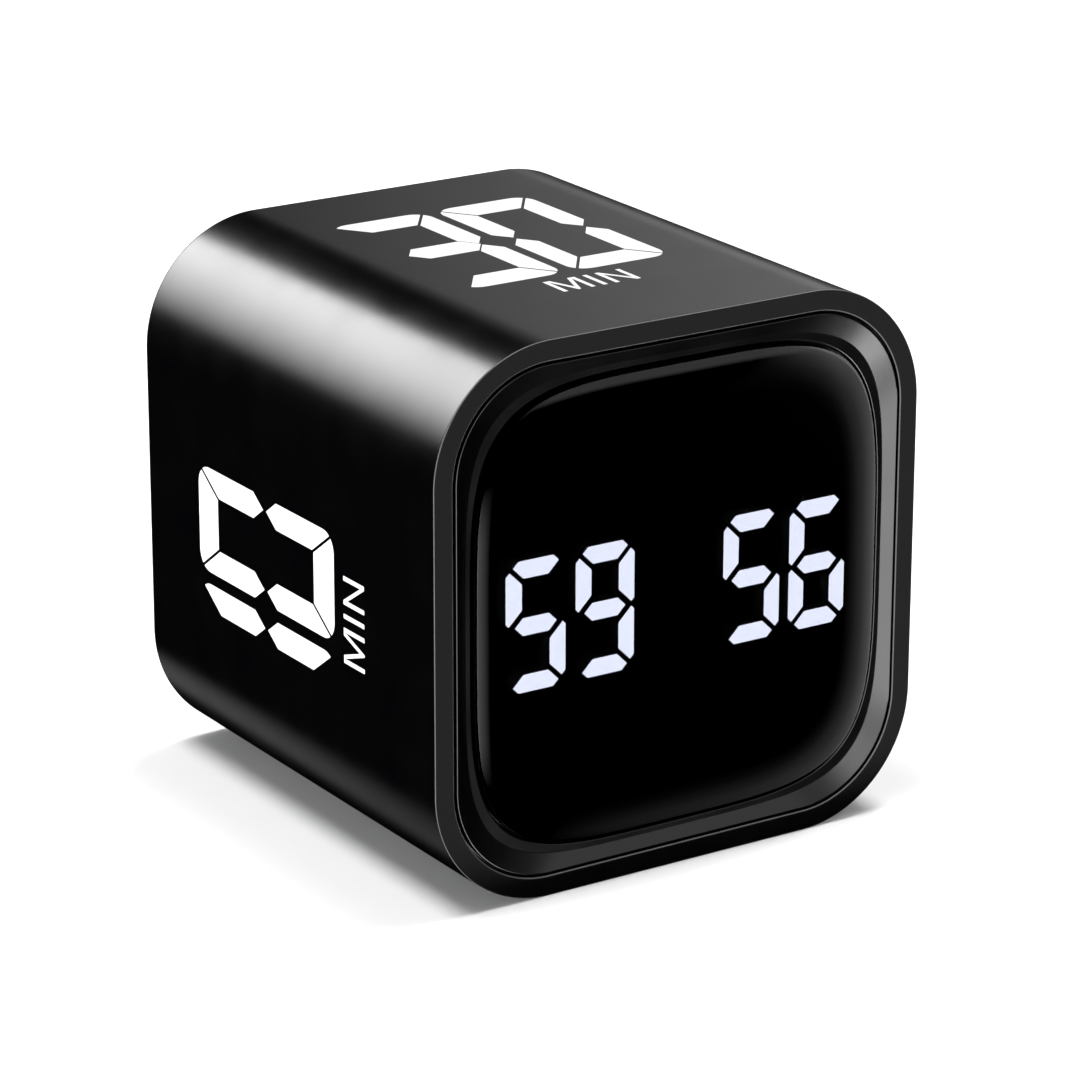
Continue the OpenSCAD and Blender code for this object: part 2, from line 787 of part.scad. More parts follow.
// One flat contact against an end wall of the bay
module contact_plate(from_x, to_x, end) {
    wall_z = end * tab_z;
    box([from_x - plate_w / 2, cell_y - plate_w / 2, wall_z - plate_t / 2],
        [to_x + plate_w / 2, cell_y + plate_w / 3, wall_z + plate_t / 2]);
}

module contact_tab(side) {
    box([side * tab_x - tab_w / 2, tab_y, tab_z - plate_t / 2],
        [side * tab_x + tab_w / 2, cell_y, tab_z + plate_t / 2]);
}

module contact_plates() {
    color(brass) {
        for (side = [-1, 1]) union() {
            contact_plate(side * cell_pitch / 2, side * cell_pitch / 2, 1);
            contact_tab(side);
        }
        contact_plate(-cell_pitch / 2, cell_pitch / 2, -1);
    }
}

// Contact springs: a conical coil from the plate to the cell, which takes up the length that the cell leaves
curl_rings = 8;
spring_sides = 6;
spring_rise = 2 * bay_half_h - cell_l - 2 * plate_t - 3 * touch - wire_d;
function coil_point(share) =
    let (r = (spring_base_d + (spring_tip_d - spring_base_d) * share) / 2, turn = 360 * spring_turns * share)
    [r * cos(turn), r * sin(turn), spring_rise * share];
coil = [for (i = [0 : curl_rings * spring_turns]) coil_point(i / (curl_rings * spring_turns))];
coil_gaps = [for (i = [0 : len(coil) - 1], j = [i + curl_rings / 2 : len(coil) - 1])
    if (j < len(coil)) norm(coil[i] - coil[j]) - wire_d];
echo(contact_spring_least_gap = min(coil_gaps));

module contact_springs() {
    color(steel) at_cells() translate([0, 0, plate_t + wire_d / 2 + touch - bay_half_h])
        tube(coil, wire_d, spring_sides, [0, 0, 1]);
}

// Control strips
module strip_board(side) {
    color(board_green) difference() {
        box([side * strip_x - strip_half_w, strip_y - strip_t, -strip_half_h],
            [side * strip_x + strip_half_w, strip_y, strip_half_h]);
        for (end = [-1, 1]) {
            bar_y(screw_d + 2 * head_gap, strip_y - strip_t - past, strip_y + past, side * strip_x,
                end * strip_post_z);
        }
    }
}

module left_board() { strip_board(-1); }
module right_board() { strip_board(1); }

module sound_switch_body() {
    stem_slot_l = foot_l + 2 * knob_travel - 2 * switch_wall;
    foot_half_w = switch_w / 2 - switch_wall;
    foot_half_l = switch_l / 2 - switch_wall;
    stem_half_w = stem_w / 2 + slider_gap;
    stem_half_l = stem_slot_l / 2 + slider_gap;
    color(steel) translate([-strip_x, strip_y, knob_z]) difference() {
        box([-switch_w / 2, 0, -switch_l / 2], [switch_w / 2, switch_h, switch_l / 2]);
        box([-foot_half_w, switch_floor, -foot_half_l],
            [foot_half_w, switch_floor + foot_h + 2 * slider_gap, foot_half_l]);
        box([-stem_half_w, switch_floor, -stem_half_l], [stem_half_w, switch_h + past, stem_half_l]);
    }
}

module sound_knob() {
    stem_l_z = foot_l - 2 * switch_wall;
    foot_y = strip_y + switch_floor + slider_gap;
    color("#d0d2d6") translate([-strip_x, 0, knob_z]) {
        box([-foot_w / 2, foot_y, -foot_l / 2], [foot_w / 2, foot_y + foot_h, foot_l / 2]);
        box([-stem_w / 2, foot_y, -stem_l_z / 2], [stem_w / 2, shutter_y + shutter_t, stem_l_z / 2]);
        box([-knob_w / 2 - shutter_side, shutter_y, -shutter_half_l],
            [knob_w / 2 + shutter_side, shutter_y + shutter_t, shutter_half_l]);
        box([-knob_w / 2, shutter_y, -knob_l / 2], [knob_w / 2, cover_y + knob_proud - grip_h, knob_l / 2]);
        for (i = [-1 : 1]) {
            box([-knob_w / 2, cover_y - join, i * grip_pitch - grip_w / 2],
                [knob_w / 2, cover_y + knob_proud, i * grip_pitch + grip_w / 2]);
        }
    }
}

module buzzer() {
    color(dark_grey) difference() {
        bar_y(buzzer_d, strip_y, strip_y + buzzer_h, -strip_x, -buzzer_z);
        bar_y(buzzer_hole_d, strip_y + buzzer_h - past, strip_y + buzzer_h + past, -strip_x, -buzzer_z);
    }
}

module tact_switches() {
    color(dark_grey) for (i = [-1 : 1]) difference() {
        box([strip_x - tact_w / 2, strip_y, i * button_pitch - tact_w / 2],
            [strip_x + tact_w / 2, tact_y, i * button_pitch + tact_w / 2]);
        bar_y(plunger_d + 2 * plunger_gap, tact_y - plunger_in - button_travel - plunger_gap, tact_y + past,
            strip_x, i * button_pitch);
    }
}

// A button cap: flange, rounded top and stem, turned about its axis
module button(i) {
    cap_r = button_d / 2;
    cap_top = cover_y + button_proud - flange_y;
    color("#232428") translate([strip_x, flange_y, mid_z + i * button_pitch]) rotate([-90, 0, 0]) {
        rotate_extrude() {
            square([cap_r + flange_w, flange_t]);
            square([cap_r, cap_top - cap_edge_r]);
            square([cap_r - cap_edge_r, cap_top]);
            translate([cap_r - cap_edge_r, cap_top - cap_edge_r]) circle(r = cap_edge_r);
        }
        translate([0, 0, -stem_l]) cylinder(d = stem_d, h = stem_l + join);
    }
}

module plunger(i) {
    color("#c8c8c4") bar_y(plunger_d, tact_y - plunger_in, plunger_y, strip_x, i * button_pitch);
}

module minute_button() { button(1); }
module second_button() { button(0); }
module start_button() { button(-1); }
module minute_plunger() { plunger(1); }
module second_plunger() { plunger(0); }
module start_plunger() { plunger(-1); }

// Ribbon cables: a flat strip in an easy S from the display board's socket to the strip board's socket
ribbon_from = board_back_y + socket_h;
ribbon_to = strip_y - strip_t - socket_h;
function ease(share) = share * share * (3 - 2 * share);
function ribbon_point(share, offset) = [ribbon_x + (strip_x - ribbon_x) * ease(share) + offset,
    ribbon_from + (ribbon_to - ribbon_from) * share];

module ribbon(side) {
    near = [for (i = [0 : ribbon_steps]) ribbon_point(i / ribbon_steps, -ribbon_t / 2)];
    far = [for (i = [0 : ribbon_steps]) ribbon_point(i / ribbon_steps, ribbon_t / 2)];
    outline = [for (p = concat(near, reversed(far))) [side * p[0], p[1]]];
    color("#9a9da3") translate([0, 0, mid_z - ribbon_w / 2]) linear_extrude(ribbon_w) polygon(outline);
}

module left_ribbon() { ribbon(-1); }
module right_ribbon() { ribbon(1); }

module socket(x, from_y) {
    box([x - socket_w / 2, from_y, -socket_l / 2], [x + socket_w / 2, from_y + socket_h, socket_l / 2]);
}

module board_sockets() {
    color("#e6e2d4") for (side = [-1, 1]) {
        socket(side * ribbon_x, board_back_y);
        socket(side * strip_x, ribbon_to);
    }
    color("#e6e2d4") box([-lead_socket_w / 2, board_back_y, lead_z - lead_socket_h / 2],
        [lead_socket_w / 2, board_back_y + socket_h, lead_z + lead_socket_h / 2]);
}

// Battery leads: an easy S from the contact's tab to the socket
lead_from = tab_y - lead_gap;
lead_to = board_back_y + socket_h + lead_gap;
function lead_point(side, share) = [side * (tab_x + (pin_x - tab_x) * ease(share)),
    lead_from + (lead_to - lead_from) * share, mid_z + tab_z + (lead_z - tab_z) * ease(share)];

module lead(side) {
    tube([for (i = [0 : lead_steps]) lead_point(side, i / lead_steps)], lead_d, lead_sides, [1, 0, 0]);
}

module red_lead() {
    color("#b3261e") lead(-1);
}

module black_lead() {
    color("#1a1a1a") lead(1);
}

case_sleeve();
front_bezel();
lens();
lens_tape();
digit_housing();
lit_segments();
dark_segments();
led_chips();
display_board();
controller_chip();
left_tilt_can();
right_tilt_can();
left_tilt_ball();
right_tilt_ball();
board_screws();
rear_cover();
cover_screws();
battery_door();
battery_cells();
contact_plates();
contact_springs();
left_board();
right_board();
sound_switch_body();
sound_knob();
buzzer();
tact_switches();
minute_button();
second_button();
start_button();
minute_plunger();
second_plunger();
start_plunger();
left_ribbon();
right_ribbon();
board_sockets();
red_lead();
black_lead();
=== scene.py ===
import json
import logging
from dataclasses import dataclass, field
from enum import Enum
from typing import ClassVar

import bmesh
import bpy
import numpy as np
from mathutils import Matrix, Vector

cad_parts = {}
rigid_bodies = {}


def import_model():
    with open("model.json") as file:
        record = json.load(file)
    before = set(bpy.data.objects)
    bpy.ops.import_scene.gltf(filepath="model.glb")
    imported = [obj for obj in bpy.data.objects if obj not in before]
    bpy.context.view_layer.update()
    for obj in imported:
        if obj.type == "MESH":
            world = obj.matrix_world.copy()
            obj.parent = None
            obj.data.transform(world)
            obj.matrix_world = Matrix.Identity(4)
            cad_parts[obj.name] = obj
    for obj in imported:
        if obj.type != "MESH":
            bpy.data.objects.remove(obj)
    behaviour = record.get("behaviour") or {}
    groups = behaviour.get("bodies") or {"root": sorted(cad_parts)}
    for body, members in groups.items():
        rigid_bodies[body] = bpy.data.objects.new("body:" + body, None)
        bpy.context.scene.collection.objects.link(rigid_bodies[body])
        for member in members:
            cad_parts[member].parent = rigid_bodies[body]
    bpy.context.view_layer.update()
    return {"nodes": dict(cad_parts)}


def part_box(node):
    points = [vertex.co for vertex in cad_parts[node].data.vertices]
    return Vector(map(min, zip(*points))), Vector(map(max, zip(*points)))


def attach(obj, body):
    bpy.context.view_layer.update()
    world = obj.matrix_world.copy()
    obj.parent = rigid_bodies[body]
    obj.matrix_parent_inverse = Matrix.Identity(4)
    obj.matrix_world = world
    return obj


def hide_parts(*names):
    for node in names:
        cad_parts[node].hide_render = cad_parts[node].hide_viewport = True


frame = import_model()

log = logging.getLogger("flip_timer")

Pair = tuple[float, float]
Triple = tuple[float, float, float]
Tree = bpy.types.NodeTree
Socket = bpy.types.NodeSocket
Piece = bpy.types.Object

MM = 0.001
CASE = "case"
FLOOR = "floor"
INK_PREFIX = "print_"
# points closer than this are one point; in metres
MERGE_DISTANCE = 2e-7
# a fold sharper than the first angle is a crease, and one below the second is no fold
CREASE_ANGLE = np.radians(38)
FLAT_ANGLE = np.radians(0.5)
# where extra rows hold a flat band flat, as a share of its width
FLAT_HOLD = 0.04
# where extra points hold the flats beside an arc: a share of what the arc cuts off, and the most it may be
ARC_HOLD = 0.4
ARC_HOLD_MOST = 0.06
# how far a rounded edge's middle lies from both faces, as a share of its radius: about 1 - cos 45 degrees
EDGE_MIDDLE = 0.3
QUARTER_TURNS = np.arange(4) * np.pi / 2
FULL_SPAN = (0.0, 1.0)
# the part of a cloud pattern's range that it mostly keeps to, and how many finer clouds lie over it
CLOUD_ENDS = (0.3, 0.7)
CLOUD_DETAIL = 3.0
# length of one wave of the wave texture at a scale of one
WAVE_LENGTH = 2 * np.pi / 20


def linear(hex_colour: str) -> tuple[float, float, float, float]:
    """Turn an sRGB hex colour into the linear colour that the shaders use.

    A part c becomes c / 12.92 up to 0.04045, and ((c + 0.055) / 1.055)^2.4 above it.

    Args:
        hex_colour: the colour as "#rrggbb".

    Returns:
        Linear red, green, blue and an alpha of one.
    """
    parts = np.array([int(hex_colour[i:i + 2], 16) for i in (1, 3, 5)]) / 255
    shares = np.where(parts <= 0.04045, parts / 12.92, ((parts + 0.055) / 1.055) ** 2.4)
    return (*(float(share) for share in shares), 1.0)


def box_mm(node: str) -> tuple[np.ndarray, np.ndarray]:
    """Give a construction node's lowest and highest corners in millimetres.

    Args:
        node: the node's name.

    Returns:
        The two corners.
    """
    low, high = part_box(node)
    return np.array(low) / MM, np.array(high) / MM


def unit(vectors: np.ndarray) -> np.ndarray:
    """Scale each vector along the last axis to length one."""
    return vectors / np.linalg.norm(vectors, axis=-1, keepdims=True)


def ease(share: np.ndarray) -> np.ndarray:
    """Smooth step s * s * (3 - 2 s), level at both ends."""
    return share * share * (3 - 2 * share)


# Outlines and profiles


class Corner(Enum):
    """How an outline turns its corners."""

    ARC = "straight sides joined by quarter circles"
    SUPER = "superellipse, which bends all the way round"


@dataclass(frozen=True)
class Outline:
    """A square outline with soft corners about the part's long axis.

    Attributes:
        half: half of its width.
        corner: how it turns its corners.
        bend: the corner's radius, or the superellipse's power.
    """

    half: float
    corner: Corner
    bend: float

    def reach(self, angles: np.ndarray, inset: float = 0.0) -> np.ndarray:
        """Distance from the axis to the outline along rays.

        A ray meets a straight side at half / max(cos, sin). It meets a quarter circle about (c, c) at
        c (cos + sin) + sqrt((c (cos + sin))^2 - 2 c^2 + r^2), and a superellipse of power n at
        half / (cos^n + sin^n)^(1 / n).

        Args:
            angles: the rays' angles.
            inset: how far the outline is moved inwards.

        Returns:
            One distance for each ray.
        """
        across = np.abs(np.cos(angles))
        rise = np.abs(np.sin(angles))
        half = self.half - inset
        if self.corner is Corner.SUPER:
            return half / (across ** self.bend + rise ** self.bend) ** (1 / self.bend)
        radius = self.bend - inset
        centre = half - radius
        middle = centre * (across + rise)
        on_arc = middle + np.sqrt(np.maximum(middle ** 2 - 2 * centre ** 2 + radius ** 2, 0))
        on_side = half / np.maximum(across, rise)
        return np.where(on_side * np.minimum(across, rise) <= centre, on_side, on_arc)


def ray_angles(outline: Outline, per_side: int = 28, per_corner: int = 52) -> np.ndarray:
    """Angles of rays that stand close together where an arc-cornered outline turns.

    Args:
        outline: the outline that the rays suit.
        per_side: rays over each straight side.
        per_corner: rays over each corner, at equal turns of the arc.

    Returns:
        The angles, once round.
    """
    centre = outline.half - outline.bend
    edge = np.arctan2(centre, outline.half)
    side = np.linspace(-edge, edge, per_side, endpoint=False)
    turn = np.linspace(0, np.pi / 2, per_corner, endpoint=False)
    corner = np.arctan2(centre + outline.bend * np.sin(turn), centre + outline.bend * np.cos(turn))
    quarter = np.concatenate([side, corner])
    return (quarter + QUARTER_TURNS[:, None]).ravel()


def rounded_profile(corners: list[Triple], steps: int = 5) -> np.ndarray:
    """A closed polygon whose corners are arcs.

    Each corner is cut back by r / tan(half of its angle) and an arc tangent to both sides fills the cut. A
    point just past each end of the arc keeps the flats beside it flat when they are shaded smooth.

    Args:
        corners: for each corner two coordinates and its radius, which is never zero.
        steps: straight pieces in each arc.

    Returns:
        The points, one row each.
    """
    table = np.array(corners, dtype=float)
    points = table[:, :2]
    radius = table[:, 2:]
    back = unit(np.roll(points, 1, axis=0) - points)
    ahead = unit(np.roll(points, -1, axis=0) - points)
    half_angle = np.arccos(np.clip((back * ahead).sum(axis=1, keepdims=True), -1, 1)) / 2
    cut = radius / np.tan(half_angle)
    centre = points + unit(back + ahead) * radius / np.sin(half_angle)
    start = points + back * cut
    end = points + ahead * cut
    turn = np.pi - 2 * half_angle[:, :, None]
    share = np.linspace(0, 1, steps + 1)[None, :, None]
    from_start = np.sin((1 - share) * turn) * (start - centre)[:, None, :]
    from_end = np.sin(share * turn) * (end - centre)[:, None, :]
    arcs = centre[:, None, :] + (from_start + from_end) / np.sin(turn)
    room = np.minimum(ARC_HOLD * cut, ARC_HOLD_MOST)
    before = (start + back * room)[:, None, :]
    after = (end + ahead * room)[:, None, :]
    return np.concatenate([before, arcs, after], axis=1).reshape(-1, 2)


def clip(shape: np.ndarray, point: np.ndarray, inwards: np.ndarray) -> np.ndarray:
    """Cut a convex polygon along a line and keep the side that inwards points to.

    Args:
        shape: the polygon's corners, one row each.
        point: a point on the line.
        inwards: the line's normal, towards what is kept.

    Returns:
        The corners of what is left.
    """
    depth = (shape - point) @ inwards
    next_depth = np.roll(depth, -1)
    crosses = depth * next_depth < 0
    share = np.where(crosses, depth / np.where(crosses, depth - next_depth, 1), 0)
    cuts = shape + share[:, None] * (np.roll(shape, -1, axis=0) - shape)
    both = np.stack([shape, cuts], axis=1).reshape(-1, 2)
    return both[np.stack([depth >= 0, crosses], axis=1).ravel()]


# Surfaces


@dataclass(frozen=True)
class Patch:
    """A grid of points in millimetres.

    Attributes:
        points: rows along one parameter, columns along the other.
        closed_rows: whether the last row joins the first.
        closed_columns: whether the last column joins the first.
    """

    points: np.ndarray
    closed_rows: bool = False
    closed_columns: bool = True

    def quads(self, first: int) -> np.ndarray:
        """Corner indices of the grid's faces.

        Args:
            first: the index of the grid's first point in the mesh.

        Returns:
            Four indices for each face.
        """
        rows, columns = self.points.shape[:2]
        index = first + np.arange(rows * columns).reshape(rows, columns)
        if self.closed_rows:
            index = np.vstack([index, index[:1]])
        if self.closed_columns:
            index = np.hstack([index, index[:, :1]])
        corners = [index[:-1, :-1], index[1:, :-1], index[1:, 1:], index[:-1, 1:]]
        return np.stack(corners, axis=-1).reshape(-1, 4)


@dataclass(frozen=True)
class Ring:
    """One station of a loft: an outline, moved inwards by an inset, at a depth along Y."""

    outline: Outline
    depth: float
    inset: float = 0.0


def loft(rings: list[Ring], angles: np.ndarray, axis_z: float, closed: bool,
         flats: tuple[int, ...] = ()) -> Patch:
    """Join outlines ray by ray: x = reach cos, z = axis + reach sin, y = the ring's depth.

    Args:
        rings: the stations in order.
        angles: the rays that all the outlines share.
        axis_z: height of the long axis.
        closed: whether the last ring joins the first.
        flats: rings after which the surface stays flat: an extra row close to each side of the band holds it.

    Returns:
        The surface.
    """
    reach = np.array([ring.outline.reach(angles, ring.inset) for ring in rings])
    depth = np.array([ring.depth for ring in rings])[:, None] + np.zeros_like(reach)
    points = np.stack([reach * np.cos(angles), depth, axis_z + reach * np.sin(angles)], axis=-1)
    for first in sorted(flats, reverse=True):
        span = points[first + 1] - points[first]
        held = [points[first] + FLAT_HOLD * span, points[first + 1] - FLAT_HOLD * span]
        points = np.concatenate([points[:first + 1], held, points[first + 1:]])
    return Patch(points, closed_rows=closed)


def turned(profile: np.ndarray, centre: Pair, sides: int, closed: bool) -> Patch:
    """Turn a profile about an axis along Y: x = cx + r cos, z = cz + r sin.

    Args:
        profile: radius and depth of each point.
        centre: x and z of the axis.
        sides: columns round the axis.
        closed: whether the profile's last point joins its first.

    Returns:
        The surface.
    """
    angles = np.linspace(0, 2 * np.pi, sides, endpoint=False)
    radius = profile[:, :1]
    depth = profile[:, 1:] + np.zeros_like(angles)
    x = centre[0] + radius * np.cos(angles)
    z = centre[1] + radius * np.sin(angles)
    return Patch(np.stack([x, depth, z], axis=-1), closed_rows=closed)


def capped(walls: np.ndarray) -> Patch:
    """Close a tube: an extra row at each end draws it in to the middle of that end, its pole.

    Args:
        walls: the tube's points, one row for each station.

    Returns:
        The closed surface.
    """
    ends = walls[[0, -1]]
    poles = ends.mean(axis=1, keepdims=True) + np.zeros_like(ends)
    return Patch(np.concatenate([poles[:1], walls, poles[1:]]))


def swept_tube(path: np.ndarray, radius: float, aside: Triple, sides: int) -> Patch:
    """Carry a circle along a path: point + r (cos across + sin over).

    Args:
        path: points in order, never running along aside.
        radius: the tube's radius.
        aside: a direction that sets where the circle starts.
        sides: columns round the tube.

    Returns:
        The surface.
    """
    ahead = unit(np.gradient(path, axis=0))
    across = unit(np.cross(ahead, np.array(aside)))
    over = np.cross(across, ahead)
    angles = np.linspace(0, 2 * np.pi, sides, endpoint=False)[None, :, None]
    circle = np.cos(angles) * across[:, None, :] + np.sin(angles) * over[:, None, :]
    return capped(path[:, None, :] + radius * circle)


def slab(outline: np.ndarray, low: float, high: float) -> Patch:
    """A convex plate: the outline at two levels.

    Args:
        outline: points in the plate's plane, one row each.
        low: the lower level.
        high: the upper level.

    Returns:
        The surface, with its level as the third coordinate.
    """
    level = np.array([low, high])[:, None, None] + np.zeros((1, len(outline), 1))
    return capped(np.concatenate([np.stack([outline, outline]), level], axis=-1))


def laid(flat: Patch, origin: np.ndarray, right: np.ndarray, up: np.ndarray, outwards: np.ndarray) -> Patch:
    """Lay a plate onto a plane: origin + a right + b up + level outwards.

    Args:
        flat: the plate, with its level as the third coordinate.
        origin: where the plate's own origin goes.
        right: direction of its first coordinate.
        up: direction of its second coordinate.
        outwards: direction of its level.

    Returns:
        The plate in place.
    """
    return Patch(origin + flat.points @ np.stack([right, up, outwards]))


def new_object(name: str, data: bpy.types.ID) -> Piece:
    """Put a mesh, a light or a camera into the scene.

    Args:
        name: the object's name.
        data: what it holds.

    Returns:
        The object, at the origin.
    """
    made = bpy.data.objects.new(name, data)
    bpy.context.scene.collection.objects.link(made)
    return made


def clean_mesh(mesh: bpy.types.Mesh, new_surface: bool) -> None:
    """Merge doubled points, so seams and poles close, and shade smooth between the creases.

    Args:
        mesh: the mesh to clean.
        new_surface: whether its faces are turned outwards, or else, in a copy, joined into whole flats.
    """
    work = bmesh.new()
    work.from_mesh(mesh)
    bmesh.ops.remove_doubles(work, verts=work.verts, dist=MERGE_DISTANCE)
    if new_surface:
        bmesh.ops.recalc_face_normals(work, faces=work.faces)
    else:
        bmesh.ops.dissolve_limit(work, angle_limit=FLAT_ANGLE, verts=work.verts, edges=work.edges)
    work.to_mesh(mesh)
    work.free()
    mesh.shade_smooth()
    mesh.set_sharp_from_angle(angle=CREASE_ANGLE)


def surface_piece(name: str, patches: list[Patch]) -> Piece:
    """Make one piece from closed surfaces.

    Args:
        name: the piece's name.
        patches: the surfaces, in millimetres.

    Returns:
        The piece, not yet riding on a body.
    """
    sizes = [patch.points.shape[0] * patch.points.shape[1] for patch in patches]
    starts = np.concatenate([[0], np.cumsum(sizes)[:-1]])
    points = np.concatenate([patch.points.reshape(-1, 3) for patch in patches]) * MM
    quads = np.concatenate([patch.quads(int(start)) for patch, start in zip(patches, starts)])
    mesh = bpy.data.meshes.new(name)
    mesh.from_pydata(points, [], quads)
    clean_mesh(mesh, new_surface=True)
    return new_object(name, mesh)


# Finishes


def add_node(tree: Tree, kind: str, settings: dict[str, object],
             feeds: dict[str, Socket] | None = None) -> bpy.types.Node:
    """Add a node, set it up and link it.

    Args:
        tree: the material's or light's node tree.
        kind: the node's type.
        settings: socket or attribute names with their values; "stops" are a ramp's places and colours.
        feeds: socket names with the outputs that feed them.

    Returns:
        The node.
    """
    node = tree.nodes.new(kind)
    stops = settings.get("stops", ())
    while stops and len(node.color_ramp.elements) < len(stops):
        node.color_ramp.elements.new(FULL_SPAN[1])
    for number, (place, colour) in enumerate(stops):
        node.color_ramp.elements[number].position = place
        node.color_ramp.elements[number].color = colour
    for name, value in settings.items():
        if name in node.inputs:
            node.inputs[name].default_value = value
        elif name != "stops":
            setattr(node, name, value)
    for name, output in (feeds or {}).items():
        tree.links.new(output, node.inputs[name])
    return node


@dataclass(frozen=True)
class Canvas:
    """What a finish is painted on.

    Attributes:
        tree: the material's nodes.
        shader: its Principled shader.
        where: the coordinates that the patterns follow.
        cloud: a soft cloud pattern, from zero to one.
    """

    tree: Tree
    shader: bpy.types.Node
    where: Socket
    cloud: Socket

    def feed(self, name: str, output: Socket) -> None:
        """Link an output to one of the shader's sockets."""
        self.tree.links.new(output, self.shader.inputs[name])


def clouds(size_mm: float) -> dict[str, float]:
    """Settings of a noise texture whose clouds have this width."""
    return {"Scale": 1 / (size_mm * MM), "Detail": CLOUD_DETAIL}


@dataclass(frozen=True)
class Finish:
    """A solid material: two close tones, a roughness that wanders and a fine grain.

    Attributes:
        name: the real material and how its surface was made.
        slot: the record's material slot; not used.
        colour: main tone.
        shade: second tone, mixed in by a cloud pattern.
        roughness: lowest and highest roughness.
        cloud_mm: size of the cloud pattern.
        grain_mm: size of the grain.
        bump_mm: depth of the grain.
        metallic: one for a bare metal.
        ior: refractive index of a plastic, or the default for a metal.
    """

    name: str
    slot: str
    colour: str
    shade: str
    roughness: Pair
    cloud_mm: float = 6.0
    grain_mm: float = 0.35
    bump_mm: float = 0.001
    metallic: float = 0.0
    ior: float = 1.5

    def material(self) -> bpy.types.Material:
        """Give the finish's material, made at its first use.

        Returns:
            The material.
        """
        found = bpy.data.materials.get(self.name)
        if found:
            return found
        made = bpy.data.materials.new(self.name)
        made.use_nodes = True
        tree = made.node_tree
        shader = tree.nodes["Principled BSDF"]
        shader.inputs["Metallic"].default_value = self.metallic
        shader.inputs["IOR"].default_value = self.ior
        where = self.lay(tree, add_node(tree, "ShaderNodeTexCoord", {}).outputs["Object"])
        cloud = add_node(tree, "ShaderNodeTexNoise", clouds(self.cloud_mm), {"Vector": where})
        self.paint(Canvas(tree, shader, where, cloud.outputs["Fac"]))
        return made

    def lay(self, tree: Tree, where: Socket) -> Socket:
        """Give the coordinates that the patterns follow: here the piece's own."""
        return where

    def paint(self, canvas: Canvas) -> None:
        """Feed the shader's colour, roughness and bump.

        Args:
            canvas: the material's nodes.
        """
        stops = list(zip(CLOUD_ENDS, (linear(self.colour), linear(self.shade))))
        tones = add_node(canvas.tree, "ShaderNodeValToRGB", {"stops": stops}, {"Fac": canvas.cloud})
        canvas.feed("Base Color", tones.outputs["Color"])
        self.roughen(canvas)
        grain = add_node(canvas.tree, "ShaderNodeTexNoise", clouds(self.grain_mm), {"Vector": canvas.where})
        bump = {"Distance": self.bump_mm * MM, "Strength": 1.0}
        relief = add_node(canvas.tree, "ShaderNodeBump", bump, {"Height": grain.outputs["Fac"]})
        canvas.feed("Normal", relief.outputs["Normal"])

    def roughen(self, canvas: Canvas) -> None:
        """Let the roughness wander between its two ends as the clouds do.

        Args:
            canvas: the material's nodes.
        """
        span = {"From Min": CLOUD_ENDS[0], "From Max": CLOUD_ENDS[1],
                "To Min": self.roughness[0], "To Max": self.roughness[1]}
        rough = add_node(canvas.tree, "ShaderNodeMapRange", span, {"Value": canvas.cloud})
        canvas.feed("Roughness", rough.outputs["Result"])


@dataclass(frozen=True)
class EdgeHighlightPlastic(Finish):
    """Plastic with a painted highlight: a pale line in its colour along the rounded edges of its front rim,
    where they catch the light.

    Attributes:
        edge_colour: tone of the line.
        rim_y: depth of the rim's face.
        edge_at: how far behind that face the line starts.
        edge_w: how far it reaches along Y.
        edge_soft: how far it fades on both sides.
    """

    edge_colour: str = "#525252"
    rim_y: float = 0.0
    edge_at: float = 0.01
    edge_w: float = 0.1
    edge_soft: float = 0.015

    def paint(self, canvas: Canvas) -> None:
        """Paint as usual, then mix the painted highlight line in between two ramps of the depth.

        Args:
            canvas: the material's nodes.
        """
        Finish.paint(self, canvas)
        tree = canvas.tree
        usual = canvas.shader.inputs["Base Color"].links[0].from_socket
        depth = add_node(tree, "ShaderNodeSeparateXYZ", {}, {"Vector": canvas.where}).outputs["Y"]
        near = self.rim_y + self.edge_at
        far = near + self.edge_w
        start = {"From Min": near * MM, "From Max": (near + self.edge_soft) * MM}
        stop = {"From Min": far * MM, "From Max": (far - self.edge_soft) * MM, "To Min": 0.0}
        rise = add_node(tree, "ShaderNodeMapRange", start, {"Value": depth}).outputs["Result"]
        line = add_node(tree, "ShaderNodeMapRange", stop, {"Value": depth, "To Max": rise}).outputs["Result"]
        # painted highlight: a pale grey mixed into the base colour along the rim's rounded edges
        pale = {"Color2": linear(self.edge_colour)}
        mixed = add_node(tree, "ShaderNodeMixRGB", pale, {"Fac": line, "Color1": usual})
        canvas.feed("Base Color", mixed.outputs["Color"])


@dataclass(frozen=True)
class SmokedAcrylic(Finish):
    """Polished see-through plastic: the tint is the light left after both faces."""

    def paint(self, canvas: Canvas) -> None:
        """Let light through the shader, with faint polishing marks in its roughness.

        Args:
            canvas: the material's nodes.
        """
        canvas.shader.inputs["Transmission Weight"].default_value = 1.0
        canvas.shader.inputs["Base Color"].default_value = linear(self.colour)
        self.roughen(canvas)


@dataclass(frozen=True)
class LitResin(Finish):
    """Cast diffusing resin over a burning chip: it glows nearly evenly.

    Attributes:
        glow: how brightly it glows.
    """

    glow: float = 1.0

    def paint(self, canvas: Canvas) -> None:
        """Add the glow to the resin's own tones.

        Args:
            canvas: the material's nodes.
        """
        Finish.paint(self, canvas)
        stops = list(zip(FULL_SPAN, (linear(self.colour), linear(self.shade))))
        tones = add_node(canvas.tree, "ShaderNodeValToRGB", {"stops": stops}, {"Fac": canvas.cloud})
        canvas.feed("Emission Color", tones.outputs["Color"])
        canvas.shader.inputs["Emission Strength"].default_value = self.glow


